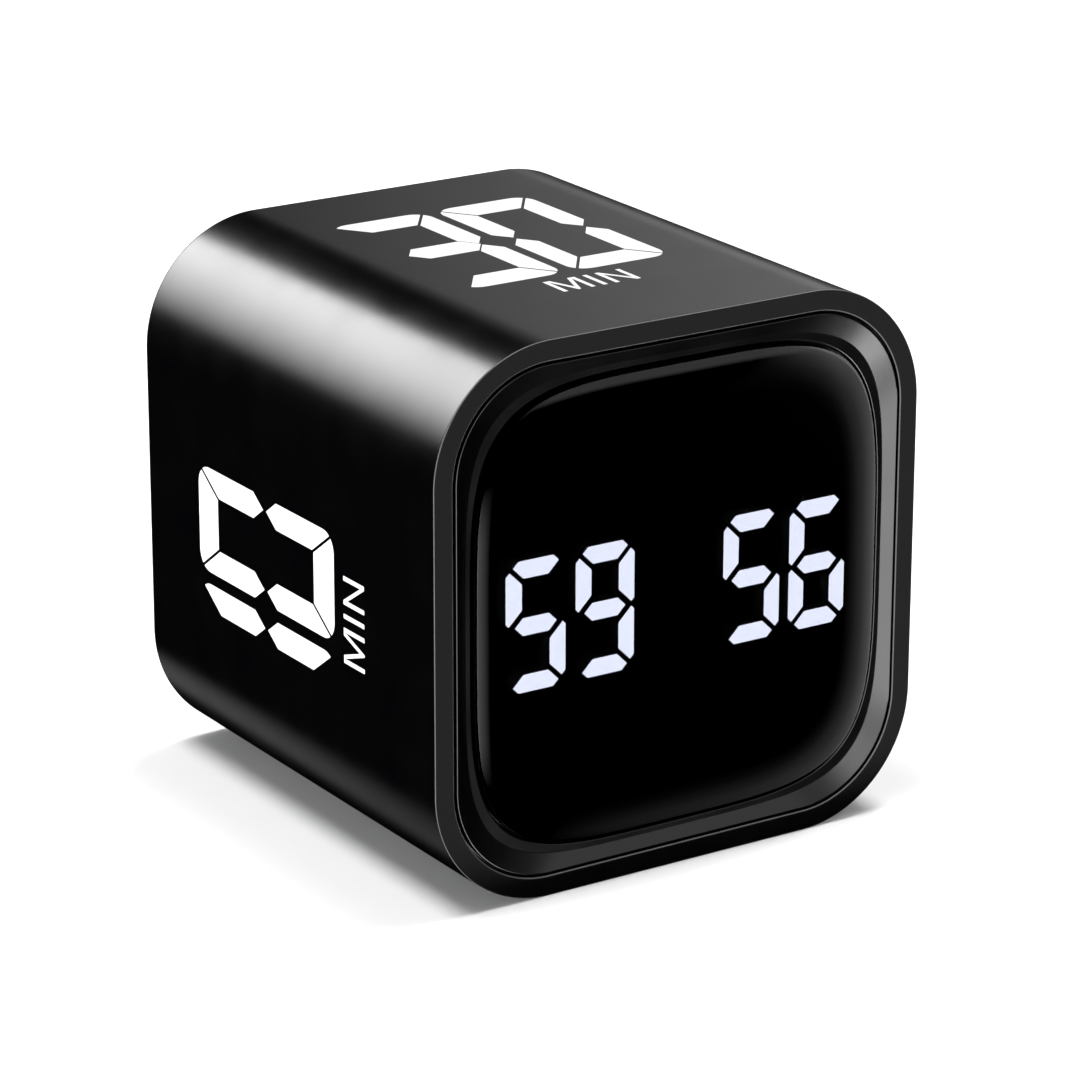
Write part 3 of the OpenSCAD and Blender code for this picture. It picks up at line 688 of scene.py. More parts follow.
@dataclass(frozen=True)
class BrushedMetal(Finish):
    """Drawn or turned metal: the grain runs along one direction.

    Attributes:
        run: how the coordinates are scaled, so the grain is long along the drawing direction.
    """

    run: Triple = (0.06, 1.0, 1.0)

    def lay(self, tree: Tree, where: Socket) -> Socket:
        """Stretch the coordinates along the drawing direction."""
        return add_node(tree, "ShaderNodeMapping", {"Scale": self.run}, {"Vector": where}).outputs["Vector"]


@dataclass(frozen=True)
class StripedPlastic(Finish):
    """Plastic with parallel stripes: painted shade in the valleys between a ribbon cable's cores, or the
    bands of a cell's wrap.

    Attributes:
        stripe_mm: distance from stripe to stripe.
        turn: rotation that lays the stripes across the piece.
    """

    stripe_mm: float = 1.0
    turn: Triple = (0.0, np.pi / 2, 0.0)

    def paint(self, canvas: Canvas) -> None:
        """Paint as usual, then take the colour from a wave across the piece.

        Args:
            canvas: the material's nodes.
        """
        Finish.paint(self, canvas)
        tree = canvas.tree
        across = add_node(tree, "ShaderNodeMapping", {"Rotation": self.turn}, {"Vector": canvas.where})
        scale = {"Scale": WAVE_LENGTH / (self.stripe_mm * MM)}
        wave = add_node(tree, "ShaderNodeTexWave", scale, {"Vector": across.outputs["Vector"]})
        # the darker tone is painted shade in a ribbon's valleys, and a real band on a cell's wrap
        stops = list(zip(FULL_SPAN, (linear(self.shade), linear(self.colour))))
        tones = add_node(tree, "ShaderNodeValToRGB", {"stops": stops}, {"Fac": wave.outputs["Fac"]})
        canvas.feed("Base Color", tones.outputs["Color"])


# satin black from a lightly eroded mould: soft broad highlights, no visible texture; the grain is drawn about
# twice as coarse as the real one, which is too fine to show
CASE_ABS = Finish("abs_satin_moulded_black", "case_black", "#010102", "#020202", (0.22, 0.26))
# the same black, with a painted highlight: a thin grey line along the rim's rounded edges, where they catch
# the light
SLEEVE_ABS = EdgeHighlightPlastic(
    "abs_satin_moulded_rubbed_edge", "case_black", "#010102", "#020202", (0.22, 0.26),
    rim_y=box_mm("case_sleeve")[0][1])
# a smoother mould: the frame's slopes show narrower highlights
BEZEL_ABS = Finish("abs_satin_moulded_frame", "bezel_black", "#010102", "#030303", (0.2, 0.24))
# a duller mould: the buttons stand out dark grey from the black cover
BUTTON_ABS = Finish("abs_satin_moulded_button", "button_black", "#17181a", "#1d1e20", (0.32, 0.4))
# plain grey, dull enough to show its ridges
KNOB_ABS = Finish("abs_satin_moulded_grey", "knob_grey", "#7a7d82", "#85888c", (0.38, 0.46))
# dark see-through plastic with a hard mirror shine
LENS_ACRYLIC = SmokedAcrylic(
    "acrylic_smoked_polished", "smoked_lens", "#3a3a3b", "#3a3a3b", (0.0, 0.012), cloud_mm=9.0, ior=1.49)
# white ink laid on by a pad: a thin chalky layer over black, so a shade below paper white
PRINT_INK = Finish(
    "ink_pad_printed_white", "case_black", "#d2d2d2", "#cecece", (0.5, 0.6), cloud_mm=2.5, grain_mm=0.2)
# matt black foam with a soft skin
TAPE_FOAM = Finish(
    "foam_tape_die_cut_black", "tape_black", "#0b0b0b", "#111111", (0.8, 0.95),
    cloud_mm=1.2, grain_mm=0.15, bump_mm=0.02)
# matt black that swallows the light beside the segments
HOUSING_PC = Finish("polycarbonate_moulded_matt_black", "housing_black", "#020202", "#040404", (0.7, 0.8))
# milky resin, lit from behind: bluish white through the smoked lens
LIT_RESIN = LitResin(
    "epoxy_cast_diffusing_lit", "segment_white", "#e9eeff", "#ecf1ff", (0.35, 0.4), cloud_mm=2.0, glow=24.0)
# the same resin unlit, with painted shade: coloured nearly black, as it looks unlit behind the lens
DARK_RESIN = Finish(
    "epoxy_cast_diffusing_dark", "segment_dark", "#101012", "#141416", (0.35, 0.45), cloud_mm=2.0)
# a drop of yellow resin, slightly uneven
CHIP_PHOSPHOR = Finish(
    "phosphor_dispensed_yellow", "led_yellow", "#e2cf72", "#d2b84f", (0.4, 0.5), cloud_mm=0.4)
# green lacquer over a woven laminate: glossy, with the weave just visible
BOARD_MASK = Finish(
    "solder_mask_on_glass_laminate", "board_green", "#0c4a2b", "#0f5a34", (0.25, 0.36),
    cloud_mm=1.1, grain_mm=0.5, bump_mm=0.006)
# matt black with a sandy skin
CHIP_EPOXY = Finish(
    "epoxy_moulded_matt_black", "chip_black", "#141414", "#1b1b1b", (0.55, 0.7),
    cloud_mm=1.5, grain_mm=0.2, bump_mm=0.01)
# bright metal with fine lines along the drawing direction
STEEL = BrushedMetal(
    "steel_drawn_bright", "steel", "#b9bbbd", "#a6a8aa", (0.25, 0.38),
    cloud_mm=0.8, grain_mm=0.2, bump_mm=0.002, metallic=1.0)
# dark metal with a slight sheen, a little lighter than the plastic round it
BLACK_ZINC = Finish(
    "steel_black_zinc", "screw_black", "#26272a", "#2f3033", (0.3, 0.42),
    cloud_mm=1.2, grain_mm=0.25, bump_mm=0.004, metallic=1.0)
# warm yellow metal, nearly a mirror
BRASS = Finish(
    "brass_polished", "ball_brass", "#d8ab55", "#c99a48", (0.12, 0.2),
    cloud_mm=1.0, grain_mm=0.2, metallic=1.0)
# warm bright metal, smoother than the bare steel
NICKEL = BrushedMetal(
    "steel_nickel_plated", "contact_nickel", "#cfc8b8", "#bdb6a6", (0.18, 0.3),
    cloud_mm=0.8, grain_mm=0.2, bump_mm=0.002, metallic=1.0)
# glossy dark film in two tones, without any print
CELL_FILM = StripedPlastic(
    "pvc_film_shrunk_on_cell", "cell_wrap", "#24282d", "#3c444c", (0.2, 0.3), stripe_mm=26.0)
# off-white plastic with a waxy sheen
NYLON = Finish("nylon_moulded_white", "plunger_white", "#cfcfc8", "#c4c4bc", (0.4, 0.5))
SOCKET_NYLON = Finish("nylon_moulded_cream", "socket_cream", "#d8cfb4", "#cbc2a6", (0.45, 0.55))
# grey insulation, with painted shade: darker in the valleys between the cores
RIBBON_PVC = StripedPlastic(
    "pvc_extruded_ribbon", "ribbon_grey", "#9a9da3", "#6c6f75", (0.4, 0.5), stripe_mm=1.0)
# soft insulation with a dull shine
RED_PVC = Finish("pvc_extruded_red", "lead_red", "#b01c18", "#a01612", (0.35, 0.45))
BLACK_PVC = Finish("pvc_extruded_black", "lead_black", "#141414", "#1a1a1a", (0.35, 0.45))
# plain white card, so even that only the shadow shows on it
FLOOR_CARD = Finish(
    "floor_card_white", "", "#f4f4f4", "#f6f6f6", (0.8, 0.9), cloud_mm=900.0, grain_mm=40.0, bump_mm=0.0)


def dress(node: str, finish: Finish) -> None:
    """Give a construction node that stays in view its finish.

    Args:
        node: the node's name.
        finish: what it is made of.
    """
    for held in frame["nodes"][node].material_slots:
        held.material = finish.material()
    log.info("dressed %s: %s", node, finish.name)


def settle(piece: Piece, finish: Finish, body: str, *stands_for: str) -> None:
    """Finish a new piece and let it ride on its body.

    Args:
        piece: the piece, in place.
        finish: what it is made of.
        body: the body that carries it.
        stands_for: construction nodes that it replaces.
    """
    piece.data.materials.clear()
    piece.data.materials.append(finish.material())
    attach(piece, body)
    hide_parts(*stands_for)
    log.info("built %s on %s: %d faces", piece.name, body, len(piece.data.polygons))


def softened_copy(name: str, node: str, width_mm: float, segments: int = 3) -> Piece:
    """Copy a construction node, merge its points and round its sharp edges.

    Args:
        name: the new piece's name.
        node: the node to copy.
        width_mm: how far the rounding reaches from each edge.
        segments: steps in the rounding.

    Returns:
        The piece, not yet riding on a body.
    """
    mesh = frame["nodes"][node].data.copy()
    clean_mesh(mesh, new_surface=False)
    piece = new_object(name, mesh)
    soften = piece.modifiers.new("soft_edges", "BEVEL")
    soften.width = width_mm * MM
    soften.segments = segments
    soften.limit_method = "ANGLE"
    soften.angle_limit = CREASE_ANGLE
    soften.harden_normals = True
    soften.use_clamp_overlap = True
    return piece


# The case and its front


@dataclass
class Shell:
    """The square sleeve with its long rounded edges, its inner shelf and the bosses for the cover's screws.

    Attributes:
        ink_room: how far the skin lies inside the construction's box, so the prints fit in it.
        corner_r: radius of the long edges.
        wall: wall thickness.
        front_edge_r: rounding of the front rim's outer edge.
        rim_edge_r: rounding of the rim's inner edge.
        lip_w: how far the front rim stands in over the groove.
        lip_t: the thickness of that lip.
        rear_edge_r: rounding of the rear edge.
        shelf_at: the shelf's depth behind the front rim.
        shelf_w: how far the shelf stands in.
        shelf_t: the shelf's thickness.
        boss_at: distance of the bosses from the long axis, along both directions.
        boss_d: their diameter.
        boss_from: their front end.
        boss_to: their rear end.
        pilot_d: diameter of their holes.
        boss_sides: columns round a boss.
        sharp_r: rounding of the edges inside.
        skin: the sleeve's outline.
        angles: rays that all the sleeve's outlines share.
        axis_z: height of the long axis.
        front: depth of the front rim.
        rear: depth of the rear edge.
    """

    ink_room: float = 0.02
    corner_r: float = 13.8
    wall: float = 2.1
    front_edge_r: float = 0.14
    rim_edge_r: float = 0.24
    lip_w: float = 0.2
    lip_t: float = 0.8
    rear_edge_r: float = 0.6
    shelf_at: float = 8.0
    shelf_w: float = 1.2
    shelf_t: float = 2.0
    boss_at: float = 22.49
    boss_d: float = 6.0
    boss_from: float = 13.0
    boss_to: float = 27.0
    pilot_d: float = 2.1
    boss_sides: int = 32
    sharp_r: float = 0.05
    skin: Outline = field(init=False)
    angles: np.ndarray = field(init=False)
    axis_z: float = field(init=False)
    front: float = field(init=False)
    rear: float = field(init=False)

    def __post_init__(self) -> None:
        """Take the sleeve's place from the construction."""
        low, high = box_mm("case_sleeve")
        self.front = low[1]
        self.rear = high[1]
        self.axis_z = (low[2] + high[2]) / 2
        self.skin = Outline(high[0] - self.ink_room, Corner.ARC, self.corner_r - self.ink_room)
        self.angles = ray_angles(self.skin)

    def build(self) -> None:
        """Carry the wall's profile round the sleeve's outline and add the four bosses."""
        shelf_front = self.front + self.shelf_at
        shelf_rear = shelf_front + self.shelf_t
        shelf_in = self.wall + self.shelf_w
        lip_in = self.wall + self.lip_w
        lip_rear = self.front + self.lip_t
        sharp = self.sharp_r
        profile = rounded_profile([
            (0, self.front, self.front_edge_r), (0, self.rear, self.rear_edge_r),
            (self.wall, self.rear, self.rim_edge_r), (self.wall, shelf_rear, sharp),
            (shelf_in, shelf_rear, sharp), (shelf_in, shelf_front, sharp),
            (self.wall, shelf_front, sharp), (self.wall, lip_rear, sharp),
            (lip_in, lip_rear, sharp), (lip_in, self.front, self.rim_edge_r)])
        rings = [Ring(self.skin, depth, inset) for inset, depth in profile]
        patches = [loft(rings, self.angles, self.axis_z, closed=True)]
        patches += self.four_bosses(self.boss_at, self.boss_d, self.pilot_d, (self.boss_from, self.boss_to))
        settle(surface_piece("sleeve_skin", patches), SLEEVE_ABS, CASE, "case_sleeve")

    def four_bosses(self, at: float, outer_d: float, hole_d: float, span: Pair) -> list[Patch]:
        """Turn four bosses with holes, one towards each long edge.

        Args:
            at: distance of their axes from the sleeve's axis, along both directions.
            outer_d: their diameter.
            hole_d: diameter of their holes.
            span: where they start and end along Y.

        Returns:
            The four surfaces.
        """
        hole_r = hole_d / 2
        outer_r = outer_d / 2
        wall = np.array([(hole_r, span[0]), (outer_r, span[0]), (outer_r, span[1]), (hole_r, span[1])])
        centres = [(side * at, self.axis_z + end * at) for side in (-1, 1) for end in (-1, 1)]
        return [turned(wall, centre, self.boss_sides, closed=True) for centre in centres]


@dataclass
class FrontFrame:
    """The inserted frame, the smoked lens in its opening and the tape behind the lens.

    Attributes:
        shell: the sleeve that it sits in.
        groove_w: distance of the frame's front edge from the sleeve's inner wall.
        groove_depth: depth of that groove.
        slope_w: width of the slope at the middle of a side.
        slope_drop: how far the slope falls towards the lens.
        slope_power: superellipse power of the slope's inner edge.
        ledge_w: width of the level ledge inside the slope.
        lens_gap: gap round the lens.
        lens_power: superellipse power of the lens.
        shoulder_w: width of the lens's falling shoulder.
        crown: fall of the shoulder.
        lens_edge_r: rounding of the lens's front edge.
        flat_rows: rows over the lens's level middle.
        fall_rows: rows over its shoulder.
        edge_r: rounding of the frame's edges.
        seat_t: thickness of the seat behind the lens.
        skirt_wall: wall of the skirt behind the seat.
        pocket_in: width of the lens's rim round the pocket in its back.
        pocket_gap: gap between the pocket's floor and the digit housing.
        window_gap: how far the seat's window lies inside the pocket.
        post_d: diameter of the posts that carry the board.
        pilot_d: diameter of the posts' holes.
        screw_head_d: diameter of the board screws' heads.
        hook_w: width of a snap hook.
        hook_in: distance of a hook's inner face from the axis.
        hook_out: distance of its outer face.
        hook_root: how far it runs along the skirt.
        barb_w: how far its barb stands out.
        barb_l: length of the barb.
        face: outline of the frame's front edge.
        slope: outline of the slope's inner edge.
        opening: outline of the opening.
        rim: outline of the lens.
        pocket: outline of the pocket in the lens's back.
        window: outline of the seat's window.
    """

    shell: Shell
    groove_w: float = 0.5
    groove_depth: float = 1.2
    slope_w: float = 1.4
    slope_drop: float = 0.54
    slope_power: float = 4.7
    ledge_w: float = 0.6
    lens_gap: float = 0.3
    lens_power: float = 4.2
    shoulder_w: float = 4.6
    crown: float = 0.4
    lens_edge_r: float = 0.12
    flat_rows: int = 14
    fall_rows: int = 22
    edge_r: float = 0.09
    seat_t: float = 2.0
    skirt_wall: float = 1.8
    pocket_in: float = 2.2
    pocket_gap: float = 0.05
    window_gap: float = 0.3
    post_d: float = 5.0
    pilot_d: float = 2.1
    screw_head_d: float = 3.6
    hook_w: float = 8.0
    hook_in: float = 25.4
    hook_out: float = 26.55
    hook_root: float = 1.5
    barb_w: float = 0.75
    barb_l: float = 1.8
    face: Outline = field(init=False)
    slope: Outline = field(init=False)
    opening: Outline = field(init=False)
    rim: Outline = field(init=False)
    pocket: Outline = field(init=False)
    window: Outline = field(init=False)

    def __post_init__(self) -> None:
        """Step the outlines inwards from the sleeve's inner wall."""
        inner = self.shell.skin.half + self.shell.ink_room - self.shell.wall
        turn = self.shell.corner_r - self.shell.wall
        self.face = Outline(inner - self.groove_w, Corner.ARC, turn - self.groove_w)
        self.slope = Outline(self.face.half - self.slope_w, Corner.SUPER, self.slope_power)
        self.opening = self.lens_shape(self.slope.half - self.ledge_w)
        self.rim = self.lens_shape(self.opening.half - self.lens_gap)
        self.pocket = self.lens_shape(self.rim.half - self.pocket_in)
        self.window = self.lens_shape(self.pocket.half - self.window_gap)

    def lens_shape(self, half: float) -> Outline:
        """The lens's superellipse at any width."""
        return Outline(half, Corner.SUPER, self.lens_power)

    def build(self) -> None:
        """Build the frame, the lens and the tape."""
        self.build_frame()
        self.build_lens()
        self.build_tape()

    def build_frame(self) -> None:
        """Loft the frame from its groove over the slope and the ledge to its skirt; add posts and hooks."""
        front = self.shell.front
        skirt_half = box_mm("front_bezel")[1][0]
        skirt = Outline(skirt_half, Corner.ARC, self.face.bend + skirt_half - self.face.half)
        seat = box_mm("lens_tape")[1][1]
        seat_back = seat + self.seat_t
        back = front + self.shell.shelf_at
        ledge = front + self.slope_drop
        edge = self.edge_r
        mid = EDGE_MIDDLE * edge
        rings = [
            Ring(skirt, front + self.groove_depth),
            Ring(self.face, front + self.groove_depth),
            Ring(self.face, front + edge),
            Ring(self.face, front + mid, mid),
            Ring(self.face, front, edge),
            Ring(self.slope, ledge),
            Ring(self.opening, ledge, -edge),
            Ring(self.opening, ledge + mid, -mid),
            Ring(self.opening, ledge + edge),
            Ring(self.opening, seat),
            Ring(self.window, seat),
            Ring(self.window, seat_back),
            Ring(skirt, seat_back, self.skirt_wall),
            Ring(skirt, back, self.skirt_wall),
            Ring(skirt, back),
        ]
        post_at = box_mm("board_screws")[1][0] - self.screw_head_d / 2
        post_span = (seat_back, box_mm("display_board")[0][1])
        slope_and_ledge = (4, 5)
        patches = [loft(rings, self.shell.angles, self.shell.axis_z, closed=True, flats=slope_and_ledge)]
        patches += self.shell.four_bosses(post_at, self.post_d, self.pilot_d, post_span)
        patches += self.hooks(back)
        settle(surface_piece("front_frame", patches), BEZEL_ABS, CASE, "front_bezel")

    def hooks(self, back: float) -> list[Patch]:
        """Snap hooks at the middles of the four sides: an arm and a wedge-shaped barb on each.

        Args:
            back: depth of the skirt's rear edge.

        Returns:
            The surfaces.
        """
        end = box_mm("front_bezel")[1][1]
        root = back - self.hook_root
        barb = end - self.barb_l
        tip = self.hook_out + self.barb_w
        arm_shape = np.array(
            [(self.hook_in, root), (self.hook_out, root), (self.hook_out, end), (self.hook_in, end)])
        barb_shape = np.array([(self.hook_in, barb), (tip, barb), (self.hook_out, end), (self.hook_in, end)])
        along = np.array([0.0, 1.0, 0.0])
        origin = np.array([0.0, 0.0, self.shell.axis_z])
        patches = []
        for turn in QUARTER_TURNS:
            out = np.array([np.cos(turn), 0.0, np.sin(turn)])
            for shape in (arm_shape, barb_shape):
                flat = slab(shape, -self.hook_w / 2, self.hook_w / 2)
                patches.append(laid(flat, origin, out, along, np.cross(out, along)))
        return patches

    def build_lens(self) -> None:
        """Loft the lens: level middle, shoulder falling by crown share^2 outwards, skirt and pocket."""
        low, high = box_mm("lens")
        apex = low[1]
        back = high[1]
        edge_y = apex + self.crown
        pocket_floor = box_mm("digit_housing")[0][1] - self.pocket_gap
        middle = self.lens_shape(self.rim.half - self.shoulder_w)
        flat = np.linspace(0, 1, self.flat_rows)
        fall = np.linspace(0, 1, self.fall_rows)[1:]
        edge = self.lens_edge_r
        mid = EDGE_MIDDLE * edge
        reach_to = self.shoulder_w - edge
        rings = [Ring(self.lens_shape(middle.half * share), apex) for share in flat]
        rings += [Ring(middle, apex + self.crown * share ** 2, -reach_to * share) for share in fall]
        rings += [Ring(self.rim, edge_y + mid, mid), Ring(self.rim, edge_y + edge)]
        rings += [Ring(self.rim, edge_y + 2 * edge), Ring(self.rim, back)]
        rings += [Ring(self.pocket, back), Ring(self.pocket, pocket_floor)]
        rings += [Ring(self.lens_shape(self.pocket.half * share), pocket_floor) for share in flat[-2::-1]]
        patches = [loft(rings, self.shell.angles, self.shell.axis_z, closed=False)]
        settle(surface_piece("smoked_lens", patches), LENS_ACRYLIC, CASE, "lens")

    def build_tape(self) -> None:
        """Loft the flat ring of tape between the lens and its seat."""
        low, high = box_mm("lens_tape")
        rings = [Ring(self.rim, low[1]), Ring(self.rim, high[1]),
                 Ring(self.pocket, high[1]), Ring(self.pocket, low[1])]
        patches = [loft(rings, self.shell.angles, self.shell.axis_z, closed=True)]
        settle(surface_piece("lens_tape_ring", patches), TAPE_FOAM, CASE, "lens_tape")


# Printed numbers


class Face(Enum):
    """A printed side: its outward, text-right and text-up directions."""

    TOP = ((0, 0, 1), (1, 0, 0), (0, 1, 0))
    LEFT = ((-1, 0, 0), (0, 0, 1), (0, 1, 0))
    BOTTOM = ((0, 0, -1), (-1, 0, 0), (0, 1, 0))
    RIGHT = ((1, 0, 0), (0, 0, -1), (0, 1, 0))


class Bar(Enum):
    """The seven bars of a digit: a shape and the mirroring, across and up, that puts it in place."""

    TOP = ("level", 1, 1)
    BOTTOM = ("level", 1, -1)
    UPPER_RIGHT = ("upright", 1, 1)
    LOWER_RIGHT = ("upright", 1, -1)
    UPPER_LEFT = ("upright", -1, 1)
    LOWER_LEFT = ("upright", -1, -1)
    MIDDLE = ("middle", 1, 1)


DIGIT_BARS = {
    "0": [Bar.TOP, Bar.UPPER_RIGHT, Bar.LOWER_RIGHT, Bar.BOTTOM, Bar.LOWER_LEFT, Bar.UPPER_LEFT],
    "1": [Bar.UPPER_RIGHT, Bar.LOWER_RIGHT],
    "3": [Bar.TOP, Bar.UPPER_RIGHT, Bar.MIDDLE, Bar.LOWER_RIGHT, Bar.BOTTOM],
    "5": [Bar.TOP, Bar.UPPER_LEFT, Bar.MIDDLE, Bar.LOWER_RIGHT, Bar.BOTTOM],
    "6": [Bar.TOP, Bar.UPPER_LEFT, Bar.MIDDLE, Bar.LOWER_LEFT, Bar.LOWER_RIGHT, Bar.BOTTOM],
}


@dataclass
class MinuteNumber:
    """A number of minutes in white ink on one side of the sleeve.

    Attributes:
        shell: the sleeve that carries it.
        face: the side that it is printed on.
        digits: the number.
        shift: how far its middle lies to the text's right of the side's middle.
        unit_shift: how far the unit's middle lies to the right of the number's.
        digit_w: width of a full digit.
        digit_h: height of a digit.
        upright_w: width of the upright bars.
        level_w: width of the level bars.
        corner_r: rounding of the digit's outer corners.
        corner_steps: straight pieces in that rounding.
        mitre_gap: gap between bars that meet at a mitre.
        tip_gap: half of the gap between the upright bars' points.
        digit_gap: gap between digits.
        foot_at: distance of the digits' feet behind the front rim.
        unit_at: distance of the unit's feet behind the front rim.
        unit_h: height of the unit's letters.
        letter_w: stroke width of the letters.
        slant_w: level width of the letters' leaning strokes.
        m_w: width of the letter M.
        m_foot: how far its leaning strokes start from its middle at the foot.
        m_reach: how far they lean.
        n_w: width of the letter N.
        letter_gap: gap between letters.
        proud: how far the ink stands out, as a share of the room for it.
    """

    shell: Shell
    face: Face
    digits: str
    shift: float = 0.0
    unit_shift: float = 0.0
    digit_w: float = 11.9
    digit_h: float = 28.5
    upright_w: float = 2.95
    level_w: float = 4.13
    corner_r: float = 2.2
    corner_steps: int = 8
    mitre_gap: float = 0.34
    tip_gap: float = 0.33
    digit_gap: float = 1.4
    foot_at: float = 19.65
    unit_at: float = 13.65
    unit_h: float = 4.1
    letter_w: float = 0.49
    slant_w: float = 0.45
    m_w: float = 3.88
    m_foot: float = 0.13
    m_reach: float = 1.4
    n_w: float = 3.1
    letter_gap: float = 1.03
    proud: float = 0.8

    def cuts(self, shape: str) -> list[tuple[Pair, Pair]]:
        """Lines that bound one bar of a digit centred on the origin.

        A mitre runs from an outer corner of the digit to the inner corner of its bars. A point of a bar has
        the same slant, halfway across the bar.

        Args:
            shape: which bar.

        Returns:
            For each line a point on it and its normal, towards the bar.
        """
        half_w = self.digit_w / 2
        half_h = self.digit_h / 2
        lean, rise = unit(np.array([self.level_w, self.upright_w]))
        shift_x = lean * self.mitre_gap / 2
        shift_y = rise * self.mitre_gap / 2
        tip_x = half_w - self.upright_w / 2
        if shape == "level":
            return [((0, half_h - self.level_w), (0, 1)),
                    ((half_w - shift_x, half_h + shift_y), (-lean, rise)),
                    ((-half_w + shift_x, half_h + shift_y), (lean, rise))]
        if shape == "upright":
            return [((half_w - self.upright_w, 0), (1, 0)),
                    ((half_w + shift_x, half_h - shift_y), (lean, -rise)),
                    ((tip_x, self.tip_gap), (lean, rise)),
                    ((tip_x, self.tip_gap), (-lean, rise))]
        return [((0, self.level_w / 2), (0, -1)), ((0, -self.level_w / 2), (0, 1)),
                ((-tip_x, 0), (lean, rise)), ((-tip_x, 0), (lean, -rise)),
                ((tip_x, 0), (-lean, rise)), ((tip_x, 0), (-lean, -rise))]

    def bar(self, bar: Bar) -> np.ndarray:
        """Outline of one bar: the digit's rounded box, cut by the lines that bound the bar, then mirrored.

        Args:
            bar: which bar.

        Returns:
            Points about the digit's middle.
        """
        shape, across, up = bar.value
        half = np.array([self.digit_w, self.digit_h]) / 2
        corners = [(x * half[0], y * half[1], self.corner_r) for x, y in ((-1, -1), (1, -1), (1, 1), (-1, 1))]
        outline = rounded_profile(corners, self.corner_steps)
        for point, inwards in self.cuts(shape):
            outline = clip(outline, np.array(point, dtype=float), np.array(inwards, dtype=float))
        return outline * np.array([across, up])

    def stem(self, x: float) -> np.ndarray:
        """An upright stroke of a letter that starts at x."""
        right = x + self.letter_w
        return np.array([(x, 0), (right, 0), (right, self.unit_h), (x, self.unit_h)])

    def slant(self, foot: float, head: float, low: float, high: float) -> np.ndarray:
        """A leaning stroke of a letter.

        Args:
            foot: where its lower end starts.
            head: where its upper end starts.
            low: the stroke is kept to the right of this.
            high: the stroke is kept to the left of this.

        Returns:
            Its corners.
        """
        wide = self.slant_w
        shape = np.array([(foot, 0), (foot + wide, 0), (head + wide, self.unit_h), (head, self.unit_h)])
        shape = clip(shape, np.array([low, 0.0]), np.array([1.0, 0.0]))
        return clip(shape, np.array([high, 0.0]), np.array([-1.0, 0.0]))

    def letters(self) -> list[np.ndarray]:
        """Draw the strokes of the unit MIN.

        Returns:
            For each stroke a convex outline about the middle of the unit's foot.
        """
        stroke = self.letter_w
        wide = self.slant_w
        m_mid = self.m_w / 2
        m_end = self.m_w - stroke
        i_at = self.m_w + self.letter_gap
        n_at = i_at + stroke + self.letter_gap
        n_end = n_at + self.n_w
        shapes = [self.stem(x) for x in (0, m_end, i_at, n_at, n_end - stroke)]
        m_left = m_mid - self.m_foot
        m_right = m_mid + self.m_foot - wide
        shapes += [self.slant(m_left, m_left - self.m_reach, stroke, m_mid),
                   self.slant(m_right, m_right + self.m_reach, m_mid, m_end),
                   self.slant(n_end - wide, n_at, n_at + stroke, n_end - stroke)]
        return [shape - np.array([n_end / 2, 0]) for shape in shapes]

    def build(self) -> None:
        """Lay the digits and the unit on the side as a thin layer of ink."""
        outlines = [shape + np.array([self.unit_shift, self.unit_at]) for shape in self.letters()]
        widths = [self.upright_w if digit == "1" else self.digit_w for digit in self.digits]
        right_end = -(sum(widths) + self.digit_gap * (len(widths) - 1)) / 2
        for digit, width in zip(self.digits, widths):
            right_end += width
            middle = np.array([right_end - self.digit_w / 2, self.foot_at + self.digit_h / 2])
            outlines += [self.bar(bar) + middle for bar in DIGIT_BARS[digit]]
            right_end += self.digit_gap
        outwards, right, up = (np.array(direction, dtype=float) for direction in self.face.value)
        origin = np.array([0, self.shell.front, self.shell.axis_z]) + right * self.shift
        skin = self.shell.skin.half
        room = self.shell.ink_room
        plates = [slab(outline, skin - room, skin + self.proud * room) for outline in outlines]
        patches = [laid(plate, origin, right, up, outwards) for plate in plates]
        settle(surface_piece(INK_PREFIX + self.face.name.lower(), patches), PRINT_INK, CASE)


# Display, electronics, power and controls


@dataclass(frozen=True)
class DressedGroup:
    """Construction nodes that keep their shapes and only get their finishes.

    Attributes:
        name: what the group is.
        finishes: each node's finish.
    """

    name: str
    finishes: dict[str, Finish]

    def dress(self) -> None:
        """Give each node its finish."""
        for node, finish in self.finishes.items():
            dress(node, finish)
        log.info("%s: %d nodes dressed", self.name, len(self.finishes))


DISPLAY = DressedGroup("display", {
    "digit_housing": HOUSING_PC, "lit_segments": LIT_RESIN, "dark_segments": DARK_RESIN,
    "led_chips": CHIP_PHOSPHOR, "display_board": BOARD_MASK, "controller_chip": CHIP_EPOXY,
    "board_screws": STEEL})
TILT_SENSORS = DressedGroup("tilt sensors", {
    "left_tilt_can": STEEL, "right_tilt_can": STEEL, "left_tilt_ball": BRASS, "right_tilt_ball": BRASS})
CONTROL_BOARDS = DressedGroup("control boards", {
    "left_board": BOARD_MASK, "right_board": BOARD_MASK, "buzzer": CHIP_EPOXY, "tact_switches": CHIP_EPOXY,
    "sound_switch_body": STEEL, "board_sockets": SOCKET_NYLON, "minute_plunger": NYLON,
    "second_plunger": NYLON, "start_plunger": NYLON})


